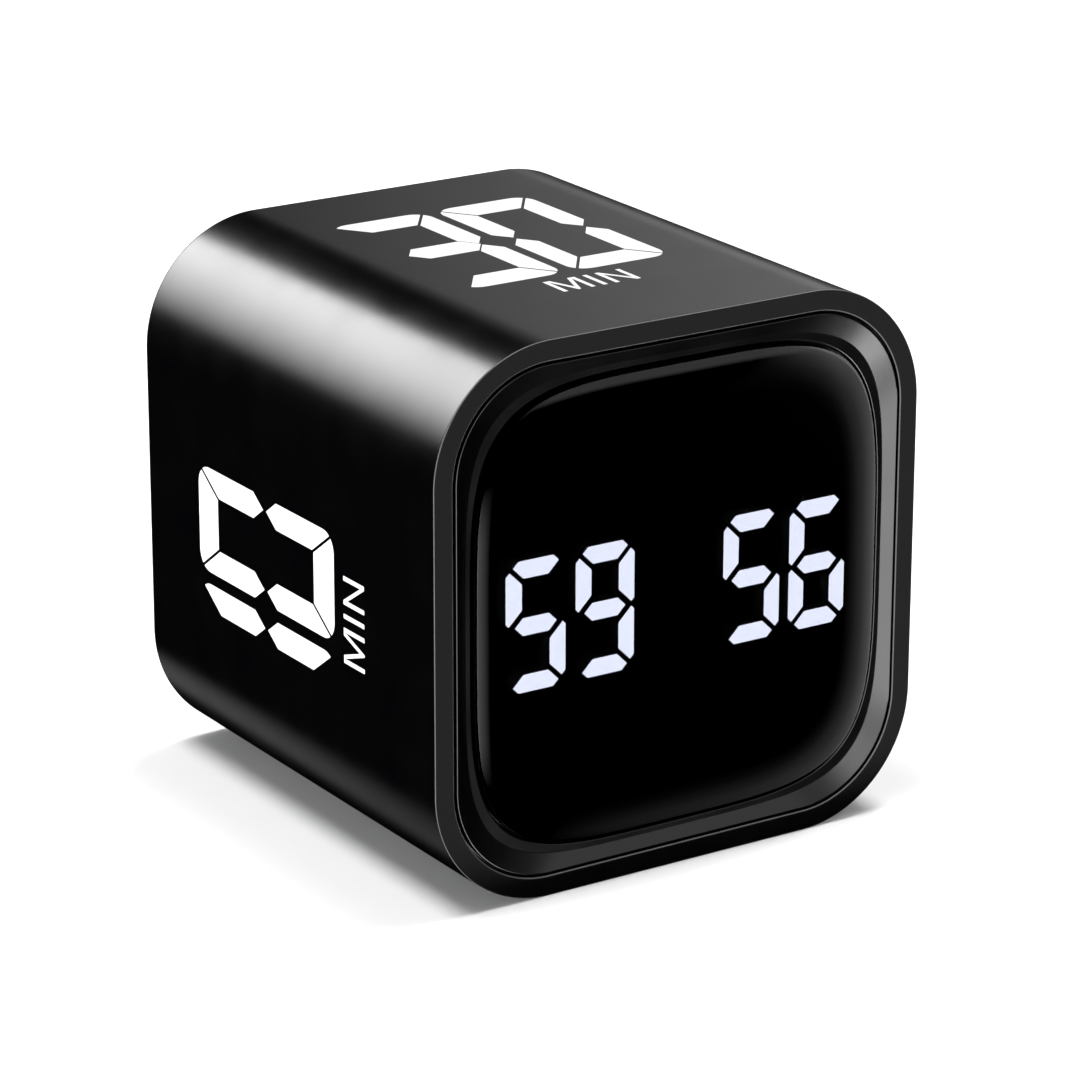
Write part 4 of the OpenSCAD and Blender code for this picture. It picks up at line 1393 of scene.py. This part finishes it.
@dataclass
class PowerPack:
    """The cells' contacts and leads: springs and leads are swept anew, smooth and round.

    Attributes:
        wire_d: diameter of the spring wire.
        spring_turns: turns of each spring.
        spring_tip_d: diameter of the spring's small end, at the cell.
        spring_rise: how far the spring stands out from its plate.
        turn_steps: points along each turn of a spring.
        wire_sides: columns round the spring wire.
        lead_d: diameter of a lead.
        lead_sunk: how far the leads' ends stay inside the construction's box.
        lead_steps: points along a lead.
        lead_sides: columns round a lead.
        pin_x: distance of the leads' far ends from the middle.
    """

    wire_d: float = 0.5
    spring_turns: float = 3.0
    spring_tip_d: float = 3.2
    spring_rise: float = 6.65
    turn_steps: int = 30
    wire_sides: int = 10
    lead_d: float = 1.3
    lead_sunk: float = 0.05
    lead_steps: int = 60
    lead_sides: int = 14
    pin_x: float = 1.5

    def build(self) -> None:
        """Build the springs and the leads and dress the cells and plates."""
        dress("battery_cells", CELL_FILM)
        dress("contact_plates", NICKEL)
        self.build_springs()
        self.build_lead("red_lead", RED_PVC, -1)
        self.build_lead("black_lead", BLACK_PVC, 1)

    def build_springs(self) -> None:
        """Two conical coils: radius falls and height grows evenly with the turn."""
        low, high = box_mm("contact_springs")
        cells_low, cells_high = box_mm("battery_cells")
        axis_y = (cells_low[1] + cells_high[1]) / 2
        cell_d = cells_high[1] - cells_low[1]
        axis_x = cells_high[0] - cell_d / 2
        base_d = 2 * (high[0] - axis_x) - self.wire_d
        share = np.linspace(0, 1, self.turn_steps * int(self.spring_turns))
        radius = (base_d + (self.spring_tip_d - base_d) * share) / 2
        turn = 2 * np.pi * self.spring_turns * share
        rise = self.spring_rise * share
        base_low = low[2] + self.wire_d / 2
        base_high = high[2] - self.wire_d / 2
        x = radius * np.cos(turn)
        y = radius * np.sin(turn)
        up = np.stack([x - axis_x, axis_y + y, base_low + rise], axis=-1)
        down = np.stack([x + axis_x, axis_y - y, base_high - rise], axis=-1)
        patches = [swept_tube(path, self.wire_d / 2, (0, 0, 1), self.wire_sides) for path in (up, down)]
        settle(surface_piece("contact_coils", patches), NICKEL, CASE, "contact_springs")

    def build_lead(self, node: str, finish: Finish, side: int) -> None:
        """One lead in an easy S from the cell's plate to the display board's socket.

        Args:
            node: the construction node that it stands for.
            finish: the lead's insulation.
            side: minus one for the left lead, one for the right.
        """
        low, high = box_mm(node)
        radius = self.lead_d / 2
        reach = max(abs(low[0]), abs(high[0])) - radius
        share = np.linspace(0, 1, self.lead_steps)
        sunk = self.lead_sunk
        path = np.stack([
            side * (reach + (self.pin_x - reach) * ease(share)),
            high[1] - sunk + (low[1] - high[1] + 2 * sunk) * share,
            high[2] - radius + (low[2] - high[2] + 2 * radius) * ease(share)], axis=-1)
        tube = swept_tube(path, radius, (1, 0, 0), self.lead_sides)
        settle(surface_piece(f"{node}_wire", [tube]), finish, CASE, node)


@dataclass
class Ribbon:
    """A flat cable of round cores side by side, in an easy S between its two sockets.

    Attributes:
        node: the construction node that it stands for.
        side: minus one for the left cable, one for the right.
        cores: number of cores.
        core_d: diameter of a core with its insulation.
        web_t: thickness of the web between cores.
        path_steps: points along the S.
        core_steps: straight pieces across a core.
    """

    node: str
    side: int
    cores: int = 6
    core_d: float = 0.5
    web_t: float = 0.3
    path_steps: int = 40
    core_steps: int = 12

    def build(self) -> None:
        """Carry the row of cores along the S: half the thickness is a core's arc or half the web."""
        low, high = box_mm(self.node)
        near_x, far_x = (low[0], high[0]) if self.side > 0 else (high[0], low[0])
        width = high[2] - low[2]
        pitch = width / self.cores
        core_r = self.core_d / 2
        share = np.linspace(0, 1, self.path_steps)
        path_x = near_x + self.side * core_r + (far_x - near_x - 2 * self.side * core_r) * ease(share)
        path_y = low[1] + (high[1] - low[1]) * share
        across = np.linspace(0, width, self.core_steps * self.cores + 1)
        from_core = np.mod(across, pitch) - pitch / 2
        arc = np.sqrt(np.maximum(core_r ** 2 - from_core ** 2, 0))
        half_t = np.maximum(arc, self.web_t / 2)
        near_side = np.stack([half_t, across], axis=-1)
        outline = np.concatenate([near_side, near_side[::-1] * np.array([-1, 1])])
        x = path_x[:, None] + outline[None, :, 0]
        y = path_y[:, None] + np.zeros(len(outline))
        z = low[2] + outline[None, :, 1] + np.zeros((len(share), 1))
        cable = capped(np.stack([x, y, z], axis=-1))
        settle(surface_piece(f"{self.node}_cable", [cable]), RIBBON_PVC, CASE, self.node)


@dataclass
class RearControls:
    """The rear cover, its screws, the battery door, the buttons and the sound knob.

    Attributes:
        cover_edge: rounding of the cover's edges.
        door_edge: rounding of the door's edges.
        screw_edge: rounding of the screw heads.
        knob_edge: rounding of the sound knob.
        cap_d: diameter of a button.
        cap_edge_r: rounding of its edge.
        dish: how far a button's top is hollowed.
        cap_h: height of a button above its flange's underside.
        flange_t: thickness of the flange.
        stem_d: diameter of the stem.
        edge_step: short straight piece beside the rounded edge, which keeps the flats flat.
        edge_rows: rows over the rounded edge.
        dish_rows: rows over the dish.
        cap_sides: columns round a button.
    """

    cover_edge: float = 0.18
    door_edge: float = 0.16
    screw_edge: float = 0.15
    knob_edge: float = 0.12
    cap_d: float = 6.0
    cap_edge_r: float = 0.5
    dish: float = 0.16
    cap_h: float = 3.65
    flange_t: float = 1.0
    stem_d: float = 2.2
    edge_step: float = 0.05
    edge_rows: int = 9
    dish_rows: int = 14
    cap_sides: int = 64

    def build(self) -> None:
        """Build the softened copies and the turned buttons."""
        copies = (
            ("rear_plate", "rear_cover", self.cover_edge, CASE_ABS, CASE),
            ("cover_screw_set", "cover_screws", self.screw_edge, BLACK_ZINC, CASE),
            ("door_panel", "battery_door", self.door_edge, CASE_ABS, "door"),
            ("sound_slide", "sound_knob", self.knob_edge, KNOB_ABS, "sound_slider"),
        )
        for name, node, edge, finish, body in copies:
            settle(softened_copy(name, node, edge), finish, body, node)
        for key in ("minute", "second", "start"):
            self.build_button(key)

    def build_button(self, key: str) -> None:
        """Turn one button: stem, flange, wall, rounded edge and a dish that falls with 1 - (r / R)^2.

        Args:
            key: the button's name.
        """
        node = f"{key}_button"
        low, high = box_mm(node)
        centre = ((low[0] + high[0]) / 2, (low[2] + high[2]) / 2)
        flange_r = (high[0] - low[0]) / 2
        top = high[1]
        flange_y = top - self.cap_h
        cap_r = self.cap_d / 2
        stem_r = self.stem_d / 2
        turn = np.linspace(0, np.pi / 2, self.edge_rows)
        edge_r = cap_r - self.cap_edge_r + self.cap_edge_r * np.cos(turn)
        edge_y = top - self.cap_edge_r + self.cap_edge_r * np.sin(turn)
        flat_r = np.linspace(cap_r - self.cap_edge_r - self.edge_step, 0, self.dish_rows)
        inside = flat_r / flat_r[0]
        dish_y = top - self.dish * (1 - inside ** 2)
        start = [(0, low[1]), (stem_r, low[1]), (stem_r, flange_y), (flange_r, flange_y),
                 (flange_r, flange_y + self.flange_t), (cap_r, flange_y + self.flange_t),
                 (cap_r, top - self.cap_edge_r - self.edge_step)]
        edge = np.stack([edge_r, edge_y], axis=-1)
        top_dish = np.stack([flat_r, dish_y], axis=-1)
        profile = np.concatenate([start, edge, top_dish])
        cap = surface_piece(f"{key}_cap", [turned(profile, centre, self.cap_sides, closed=False)])
        settle(cap, BUTTON_ABS, f"{key}_key", node)


# Studio


class Subject(Enum):
    """What a panel lights, by piece: each part of the front needs reflections of its own."""

    SLEEVE = "sleeve_skin"
    FRAME = "front_frame"
    LENS = "smoked_lens"
    REST = "everything else but the ink and the floor"

    def lights(self, piece: Piece) -> bool:
        """Tell whether the subject's panels light a piece.

        Args:
            piece: any mesh of the scene.

        Returns:
            Whether they do.
        """
        if self is not Subject.REST:
            return piece.name == self.value
        named = [subject.value for subject in Subject]
        return piece.name not in named and not piece.name.startswith((INK_PREFIX, FLOOR))

    def collection(self) -> bpy.types.Collection:
        """Give the subject's collection for light linking, filled at its first use.

        Returns:
            The collection.
        """
        name = f"lit_{self.name.lower()}"
        found = bpy.data.collections.get(name)
        if found:
            return found
        made = bpy.data.collections.new(name)
        for piece in bpy.data.objects:
            if piece.type == "MESH" and self.lights(piece):
                made.objects.link(piece)
        return made


class Ramp(Enum):
    """Direction in which a panel's brightness changes: its face's own first or second coordinate."""

    ACROSS = "X"
    UP = "Y"


@dataclass(frozen=True)
class Panel:
    """A soft light panel that only its subject's reflections show.

    Attributes:
        name: its name.
        subject: what it lights.
        azimuth: where it starts and ends, in degrees from the front towards the right.
        elevation: where it starts and ends, in degrees above level.
        radiance: brightness of its face.
        ramp: direction in which its brightness changes.
        shares: brightness at the ramp's two ends, as shares of the radiance.
        span: where the ramp starts and ends, as shares of the panel.
        fade: how far its left, right, lower and upper edges fade, in degrees.
        distance: how far away it stands.
    """

    name: str
    subject: Subject
    azimuth: Pair
    elevation: Pair
    radiance: float
    ramp: Ramp = Ramp.UP
    shares: Pair = (1.0, 1.0)
    span: Pair = FULL_SPAN
    fade: tuple[float, float, float, float] = (0.0, 0.0, 0.0, 0.0)
    distance: float = 3000.0

    def build(self, middle: np.ndarray) -> None:
        """Hang the panel so that it faces the timer.

        Args:
            middle: the timer's middle.
        """
        turn = np.radians(np.mean(self.azimuth))
        rise = np.radians(np.mean(self.elevation))
        half_turn = np.radians(np.ptp(self.azimuth)) / 2
        half_rise = np.radians(np.ptp(self.elevation)) / 2
        width = 2 * self.distance * np.cos(rise) * np.tan(half_turn)
        height = 2 * self.distance * np.tan(half_rise)
        direction = Vector((np.sin(turn) * np.cos(rise), -np.cos(turn) * np.cos(rise), np.sin(rise)))
        self.hang(width, height, Vector(middle) + direction * self.distance, direction)

    def hang(self, width: float, height: float, place: Vector, back: Vector) -> None:
        """Add the light.

        Args:
            width: width of its face.
            height: height of its face.
            place: the face's middle.
            back: direction that its back is turned to.
        """
        light = bpy.data.lights.new(self.name, "AREA")
        light.shape = "RECTANGLE"
        light.size = width * MM
        light.size_y = height * MM
        light.energy = self.radiance * np.pi * light.size * light.size_y
        light.use_nodes = True
        self.shade(light.node_tree)
        lamp = new_object(self.name, light)
        lamp.location = place * MM
        lamp.rotation_euler = back.to_track_quat("Z", "Y").to_euler()
        lamp.visible_camera = False
        lamp.visible_diffuse = False
        lamp.light_linking.receiver_collection = self.subject.collection()

    def shade(self, tree: Tree) -> None:
        """Wire the ramp and the faded edges; the face's own coordinates run from zero to one.

        Args:
            tree: the light's nodes.
        """
        place = add_node(tree, "ShaderNodeNewGeometry", {}).outputs["Parametric"]
        axes = add_node(tree, "ShaderNodeSeparateXYZ", {}, {"Vector": place}).outputs
        share = self.brightness(tree, place)
        width = np.ptp(self.azimuth)
        height = np.ptp(self.elevation)
        left, right, lower, upper = self.fade
        edges = [("X", 0, left / width), ("X", 1, -right / width),
                 ("Y", 0, lower / height), ("Y", 1, -upper / height)]
        for axis, edge, inwards in edges:
            if inwards:
                fade = {"From Min": edge, "From Max": edge + inwards, "To Min": 0.0}
                node = add_node(tree, "ShaderNodeMapRange", fade, {"Value": axes[axis], "To Max": share})
                share = node.outputs["Result"]
        tree.links.new(share, tree.nodes["Emission"].inputs["Strength"])

    def brightness(self, tree: Tree, place: Socket) -> Socket:
        """Wire the ramp along one of the face's coordinates.

        Args:
            tree: the light's nodes.
            place: the face's own coordinates.

        Returns:
            The brightness as a share of the radiance.
        """
        along = add_node(tree, "ShaderNodeSeparateXYZ", {}, {"Vector": place}).outputs[self.ramp.value]
        spread = {"From Min": self.span[0], "From Max": self.span[1],
                  "To Min": self.shares[0], "To Max": self.shares[1]}
        return add_node(tree, "ShaderNodeMapRange", spread, {"Value": along}).outputs["Result"]


@dataclass(frozen=True)
class GlowPanel(Panel):
    """A panel that is dark at its heart and brightens outwards.

    Attributes:
        heart: azimuth and elevation of the dark heart.
        radii: how far the ramp reaches along both directions, in degrees.
        stops: distances as shares of the radii, with the share of the radiance there.
    """

    heart: Pair = (0.0, 0.0)
    radii: Pair = (1.0, 1.0)
    stops: tuple[Pair, ...] = ((0.0, 0.0), (1.0, 1.0))

    def brightness(self, tree: Tree, place: Socket) -> Socket:
        """Wire the brightness from the distance to the heart, in units of the radii.

        Args:
            tree: the light's nodes.
            place: the face's own coordinates.

        Returns:
            The brightness as a share of the radiance.
        """
        corner = np.array([self.azimuth[0], self.elevation[0]])
        size = np.array([np.ptp(self.azimuth), np.ptp(self.elevation)])
        scale = size / np.array(self.radii)
        shift = (corner - np.array(self.heart)) / np.array(self.radii)
        move = {"Location": (*shift, 0.0), "Scale": (*scale, 0.0)}
        from_heart = add_node(tree, "ShaderNodeMapping", move, {"Vector": place}).outputs["Vector"]
        away = add_node(tree, "ShaderNodeVectorMath", {"operation": "LENGTH"}, {"Vector": from_heart})
        greys = [(distance, (share, share, share, 1.0)) for distance, share in self.stops]
        tones = add_node(tree, "ShaderNodeValToRGB", {"stops": greys}, {"Fac": away.outputs["Value"]})
        return tones.outputs["Color"]


@dataclass(frozen=True)
class FloorGlow:
    """The white floor in front as the rim mirrors it, dark close to the timer, where its own shadow lies.

    Attributes:
        name: its name.
        subject: what mirrors it.
        radiance: brightness of the floor.
        near: distance from the rim at which it starts.
        soft: how far its near edge fades.
        reach: how far it runs to the front.
        half_w: how far it runs to each side.
        lift: its height above the floor.
    """

    name: str
    subject: Subject
    radiance: float
    near: float
    soft: float
    reach: float
    half_w: float
    lift: float

    def build(self, front: float) -> None:
        """Lay the panel flat in front of the timer.

        Args:
            front: depth of the front rim.
        """
        near_fade = (0.0, 0.0, 0.0, self.soft / self.reach)
        panel = Panel(self.name, self.subject, FULL_SPAN, FULL_SPAN, self.radiance, fade=near_fade)
        middle = Vector((0.0, front - self.near - self.reach / 2, self.lift))
        panel.hang(2 * self.half_w, self.reach, middle, Vector((0.0, 0.0, -1.0)))


@dataclass(frozen=True)
class Sun:
    """A far light that only matt surfaces answer to: it whitens the floor and the ink and casts the shadow.

    Attributes:
        name: its name.
        towards: direction from the timer to the light.
        strength: irradiance that it gives.
        spread: its apparent width in degrees.
    """

    name: str
    towards: Triple
    strength: float
    spread: float

    def build(self) -> None:
        """Add the light."""
        light = bpy.data.lights.new(self.name, "SUN")
        light.energy = self.strength
        light.angle = np.radians(self.spread)
        lamp = new_object(self.name, light)
        lamp.rotation_euler = Vector(self.towards).to_track_quat("Z", "Y").to_euler()
        lamp.visible_glossy = False


@dataclass
class Studio:
    """A white floor, panels placed for the satin highlights and the camera at the photograph's angle.

    Attributes:
        shell: the sleeve, which gives the timer's place.
        middle_y: depth of the timer's middle, which the camera and the panels are turned to.
        azimuth: the camera's angle from the front, to the left, in degrees.
        elevation: its angle above level, in degrees.
        roll: its roll, in radians.
        distance: its distance.
        aim: how far right of and above the timer's middle it looks.
        lens: its focal length.
        sensor: width of its sensor.
        view_end: how far it sees, in metres.
        floor_half: half of the floor's width.
        surround: brightness of the white all round.
        middle: the timer's middle.
    """

    shell: Shell
    middle_y: float = -0.15
    azimuth: float = 33.08
    elevation: float = 19.05
    roll: float = 0.00186
    distance: float = 498.1
    aim: Pair = (1.54, -2.55)
    lens: float = 153.35
    sensor: float = 36.0
    view_end: float = 100.0
    floor_half: float = 6000.0
    surround: float = 0.25
    middle: np.ndarray = field(init=False)

    PANELS: ClassVar[tuple[Panel, ...]] = (
        # the broad highlight on the upper left edge, the grey top and the glow low on the left
        Panel("back_left_ramp", Subject.SLEEVE, (182.4, 219.0), (1.0, 47.0), 10.6,
              Ramp.UP, shares=(0.0, 1.0), span=(0.07, 0.62)),
        Panel("back_right_wash", Subject.SLEEVE, (118.0, 154.0), (4.0, 34.0), 1.0,
              Ramp.ACROSS, shares=(1.0, 0.0), span=(0.45, 1.0)),
        Panel("back_low_glow", Subject.SLEEVE, (175.0, 205.0), (-45.0, -29.0), 0.62,
              Ramp.UP, shares=(0.3, 1.0), span=(0.45, 0.95), fade=(6, 19, 0, 0)),
        # the sleeve seen from behind
        Panel("side_wash", Subject.SLEEVE, (-95.0, -45.0), (-40.0, -2.0), 1.0, fade=(8, 8, 8, 8)),
        Panel("high_sky", Subject.SLEEVE, (-75.0, 75.0), (32.0, 60.0), 1.2, fade=(10, 10, 6, 6)),
        Panel("front_left_wash", Subject.SLEEVE, (-44.0, -8.0), (-30.0, -4.0), 0.5, fade=(6, 6, 6, 6)),
        Panel("front_sky", Subject.SLEEVE, (-50.0, 50.0), (8.0, 30.0), 0.6, fade=(8, 8, 0, 0)),
        Panel("front_key", Subject.SLEEVE, (-14.0, 14.0), (-8.0, 10.0), 5.0, fade=(8, 8, 6, 6)),
        Panel("right_sky", Subject.SLEEVE, (66.0, 114.0), (36.0, 66.0), 3.6, fade=(12, 12, 8, 8)),
        Panel("left_sky", Subject.SLEEVE, (246.0, 294.0), (36.0, 66.0), 3.6, fade=(12, 12, 8, 8)),
        Panel("right_wash", Subject.SLEEVE, (68.0, 112.0), (-32.0, -2.0), 0.6, fade=(8, 8, 8, 8)),
        # the frame's slopes, each side of it in another light
        Panel("slope_strip", Subject.FRAME, (-25.0, 12.0), (-34.0, -8.0), 6.1),
        Panel("slope_corner", Subject.FRAME, (9.0, 26.0), (-46.0, -27.0), 11.5),
        Panel("slope_low", Subject.FRAME, (4.0, 21.0), (-10.0, 5.0), 5.2),
        Panel("slope_wash", Subject.FRAME, (20.0, 46.0), (1.0, 26.0), 0.95),
        # the lens: soft light round its right half, a line along its left and its top
        GlowPanel("lens_right", Subject.LENS, (34.0, 62.0), (-39.0, 6.0), 2.6, fade=(9, 0, 14, 0),
                  heart=(33.0, -21.0), radii=(27.0, 20.0),
                  stops=((0.2, 0.0), (0.4, 0.05), (0.6, 0.17), (0.8, 0.42), (1.0, 1.0))),
        Panel("lens_left", Subject.LENS, (6.0, 18.0), (-27.0, -14.0), 3.2,
              Ramp.ACROSS, shares=(1.0, 0.0), fade=(0, 0, 4, 4)),
        Panel("lens_top", Subject.LENS, (18.0, 40.0), (-4.2, 6.0), 0.75, fade=(8, 5, 1.5, 0)),
        # the back, the controls and what the open door shows
        Panel("rear_wash", Subject.REST, (115.0, 245.0), (-50.0, 20.0), 1.2,
              Ramp.UP, shares=(0.2, 1.0), fade=(15, 15, 0, 0)),
        Panel("rear_sky", Subject.REST, (110.0, 250.0), (38.0, 75.0), 6.0, fade=(15, 15, 6, 0)),
        Panel("rear_right_side", Subject.REST, (62.0, 104.0), (-30.0, 30.0), 3.0, fade=(8, 8, 8, 8)),
        Panel("rear_left_side", Subject.REST, (256.0, 298.0), (-30.0, 30.0), 3.0, fade=(8, 8, 8, 8)),
    )
    FLOOR_GLOW: ClassVar[FloorGlow] = FloorGlow(
        "floor_glow", Subject.SLEEVE, 0.41, near=4.5, soft=10.0, reach=900.0, half_w=900.0, lift=0.02)
    SUNS: ClassVar[tuple[Sun, ...]] = (
        Sun("floor_left", (-0.287, 0.035, 1.0), strength=2.4, spread=22.0),
        Sun("floor_right", (0.287, 0.035, 1.0), strength=2.4, spread=22.0),
        Sun("left_fill", (-1.0, -0.3, 0.08), strength=5.0, spread=20.0),
        Sun("right_fill", (1.0, 0.2, 0.08), strength=4.5, spread=20.0),
    )

    def __post_init__(self) -> None:
        """Find the timer's middle."""
        self.middle = np.array([0.0, self.middle_y, self.shell.axis_z])

    def build(self) -> None:
        """Build the floor, the world, the lights and the camera."""
        self.build_floor()
        self.build_world()
        for panel in self.PANELS:
            panel.build(self.middle)
        self.FLOOR_GLOW.build(self.shell.front)
        for sun in self.SUNS:
            sun.build()
        self.build_camera()
        bpy.context.scene.view_settings.view_transform = "Standard"

    def build_floor(self) -> None:
        """Lay a white floor that reflections do not show."""
        half = self.floor_half
        corners = np.array([[[-half, -half, 0], [-half, half, 0]], [[half, -half, 0], [half, half, 0]]])
        floor = surface_piece(FLOOR, [Patch(corners, closed_columns=False)])
        floor.data.materials.append(FLOOR_CARD.material())
        floor.visible_glossy = False
        floor.visible_transmission = False
        floor.visible_shadow = False

    def build_world(self) -> None:
        """Surround the scene with white that reflections do not show."""
        world = bpy.data.worlds.new("white_surround")
        bpy.context.scene.world = world
        world.use_nodes = True
        back = world.node_tree.nodes["Background"]
        back.inputs["Color"].default_value = linear("#ffffff")
        back.inputs["Strength"].default_value = self.surround
        world.cycles_visibility.glossy = False
        world.cycles_visibility.transmission = False

    def build_camera(self) -> None:
        """Stand the camera where the photograph was taken from."""
        turn = np.radians(-self.azimuth)
        tilt = np.radians(self.elevation)
        back = np.array([np.sin(turn) * np.cos(tilt), -np.cos(turn) * np.cos(tilt), np.sin(tilt)])
        right = unit(np.cross(np.array([0.0, 0.0, 1.0]), back))
        up = np.cross(back, right)
        place = self.middle + self.distance * back + self.aim[0] * right + self.aim[1] * up
        level = Matrix((right, up, back)).transposed()
        camera = bpy.data.cameras.new("photo_camera")
        camera.sensor_width = self.sensor
        camera.lens = self.lens
        camera.clip_end = self.view_end
        stand = new_object("photo_camera", camera)
        rolled = level.to_4x4() @ Matrix.Rotation(self.roll, 4, "Z")
        stand.matrix_world = Matrix.Translation(place * MM) @ rolled
        bpy.context.scene.camera = stand


def main() -> None:
    """Build the timer from its case inwards, then the studio."""
    logging.basicConfig(level=logging.INFO, format="%(message)s")
    shell = Shell()
    shell.build()
    FrontFrame(shell).build()
    MinuteNumber(shell, Face.TOP, "30", shift=-0.8, unit_shift=-0.05).build()
    MinuteNumber(shell, Face.LEFT, "10", shift=-1.75, unit_shift=-0.55).build()
    MinuteNumber(shell, Face.RIGHT, "60").build()
    MinuteNumber(shell, Face.BOTTOM, "5").build()
    DISPLAY.dress()
    TILT_SENSORS.dress()
    CONTROL_BOARDS.dress()
    PowerPack().build()
    Ribbon("left_ribbon", -1).build()
    Ribbon("right_ribbon", 1).build()
    RearControls().build()
    Studio(shell).build()


if __name__ == "__main__":
    main()
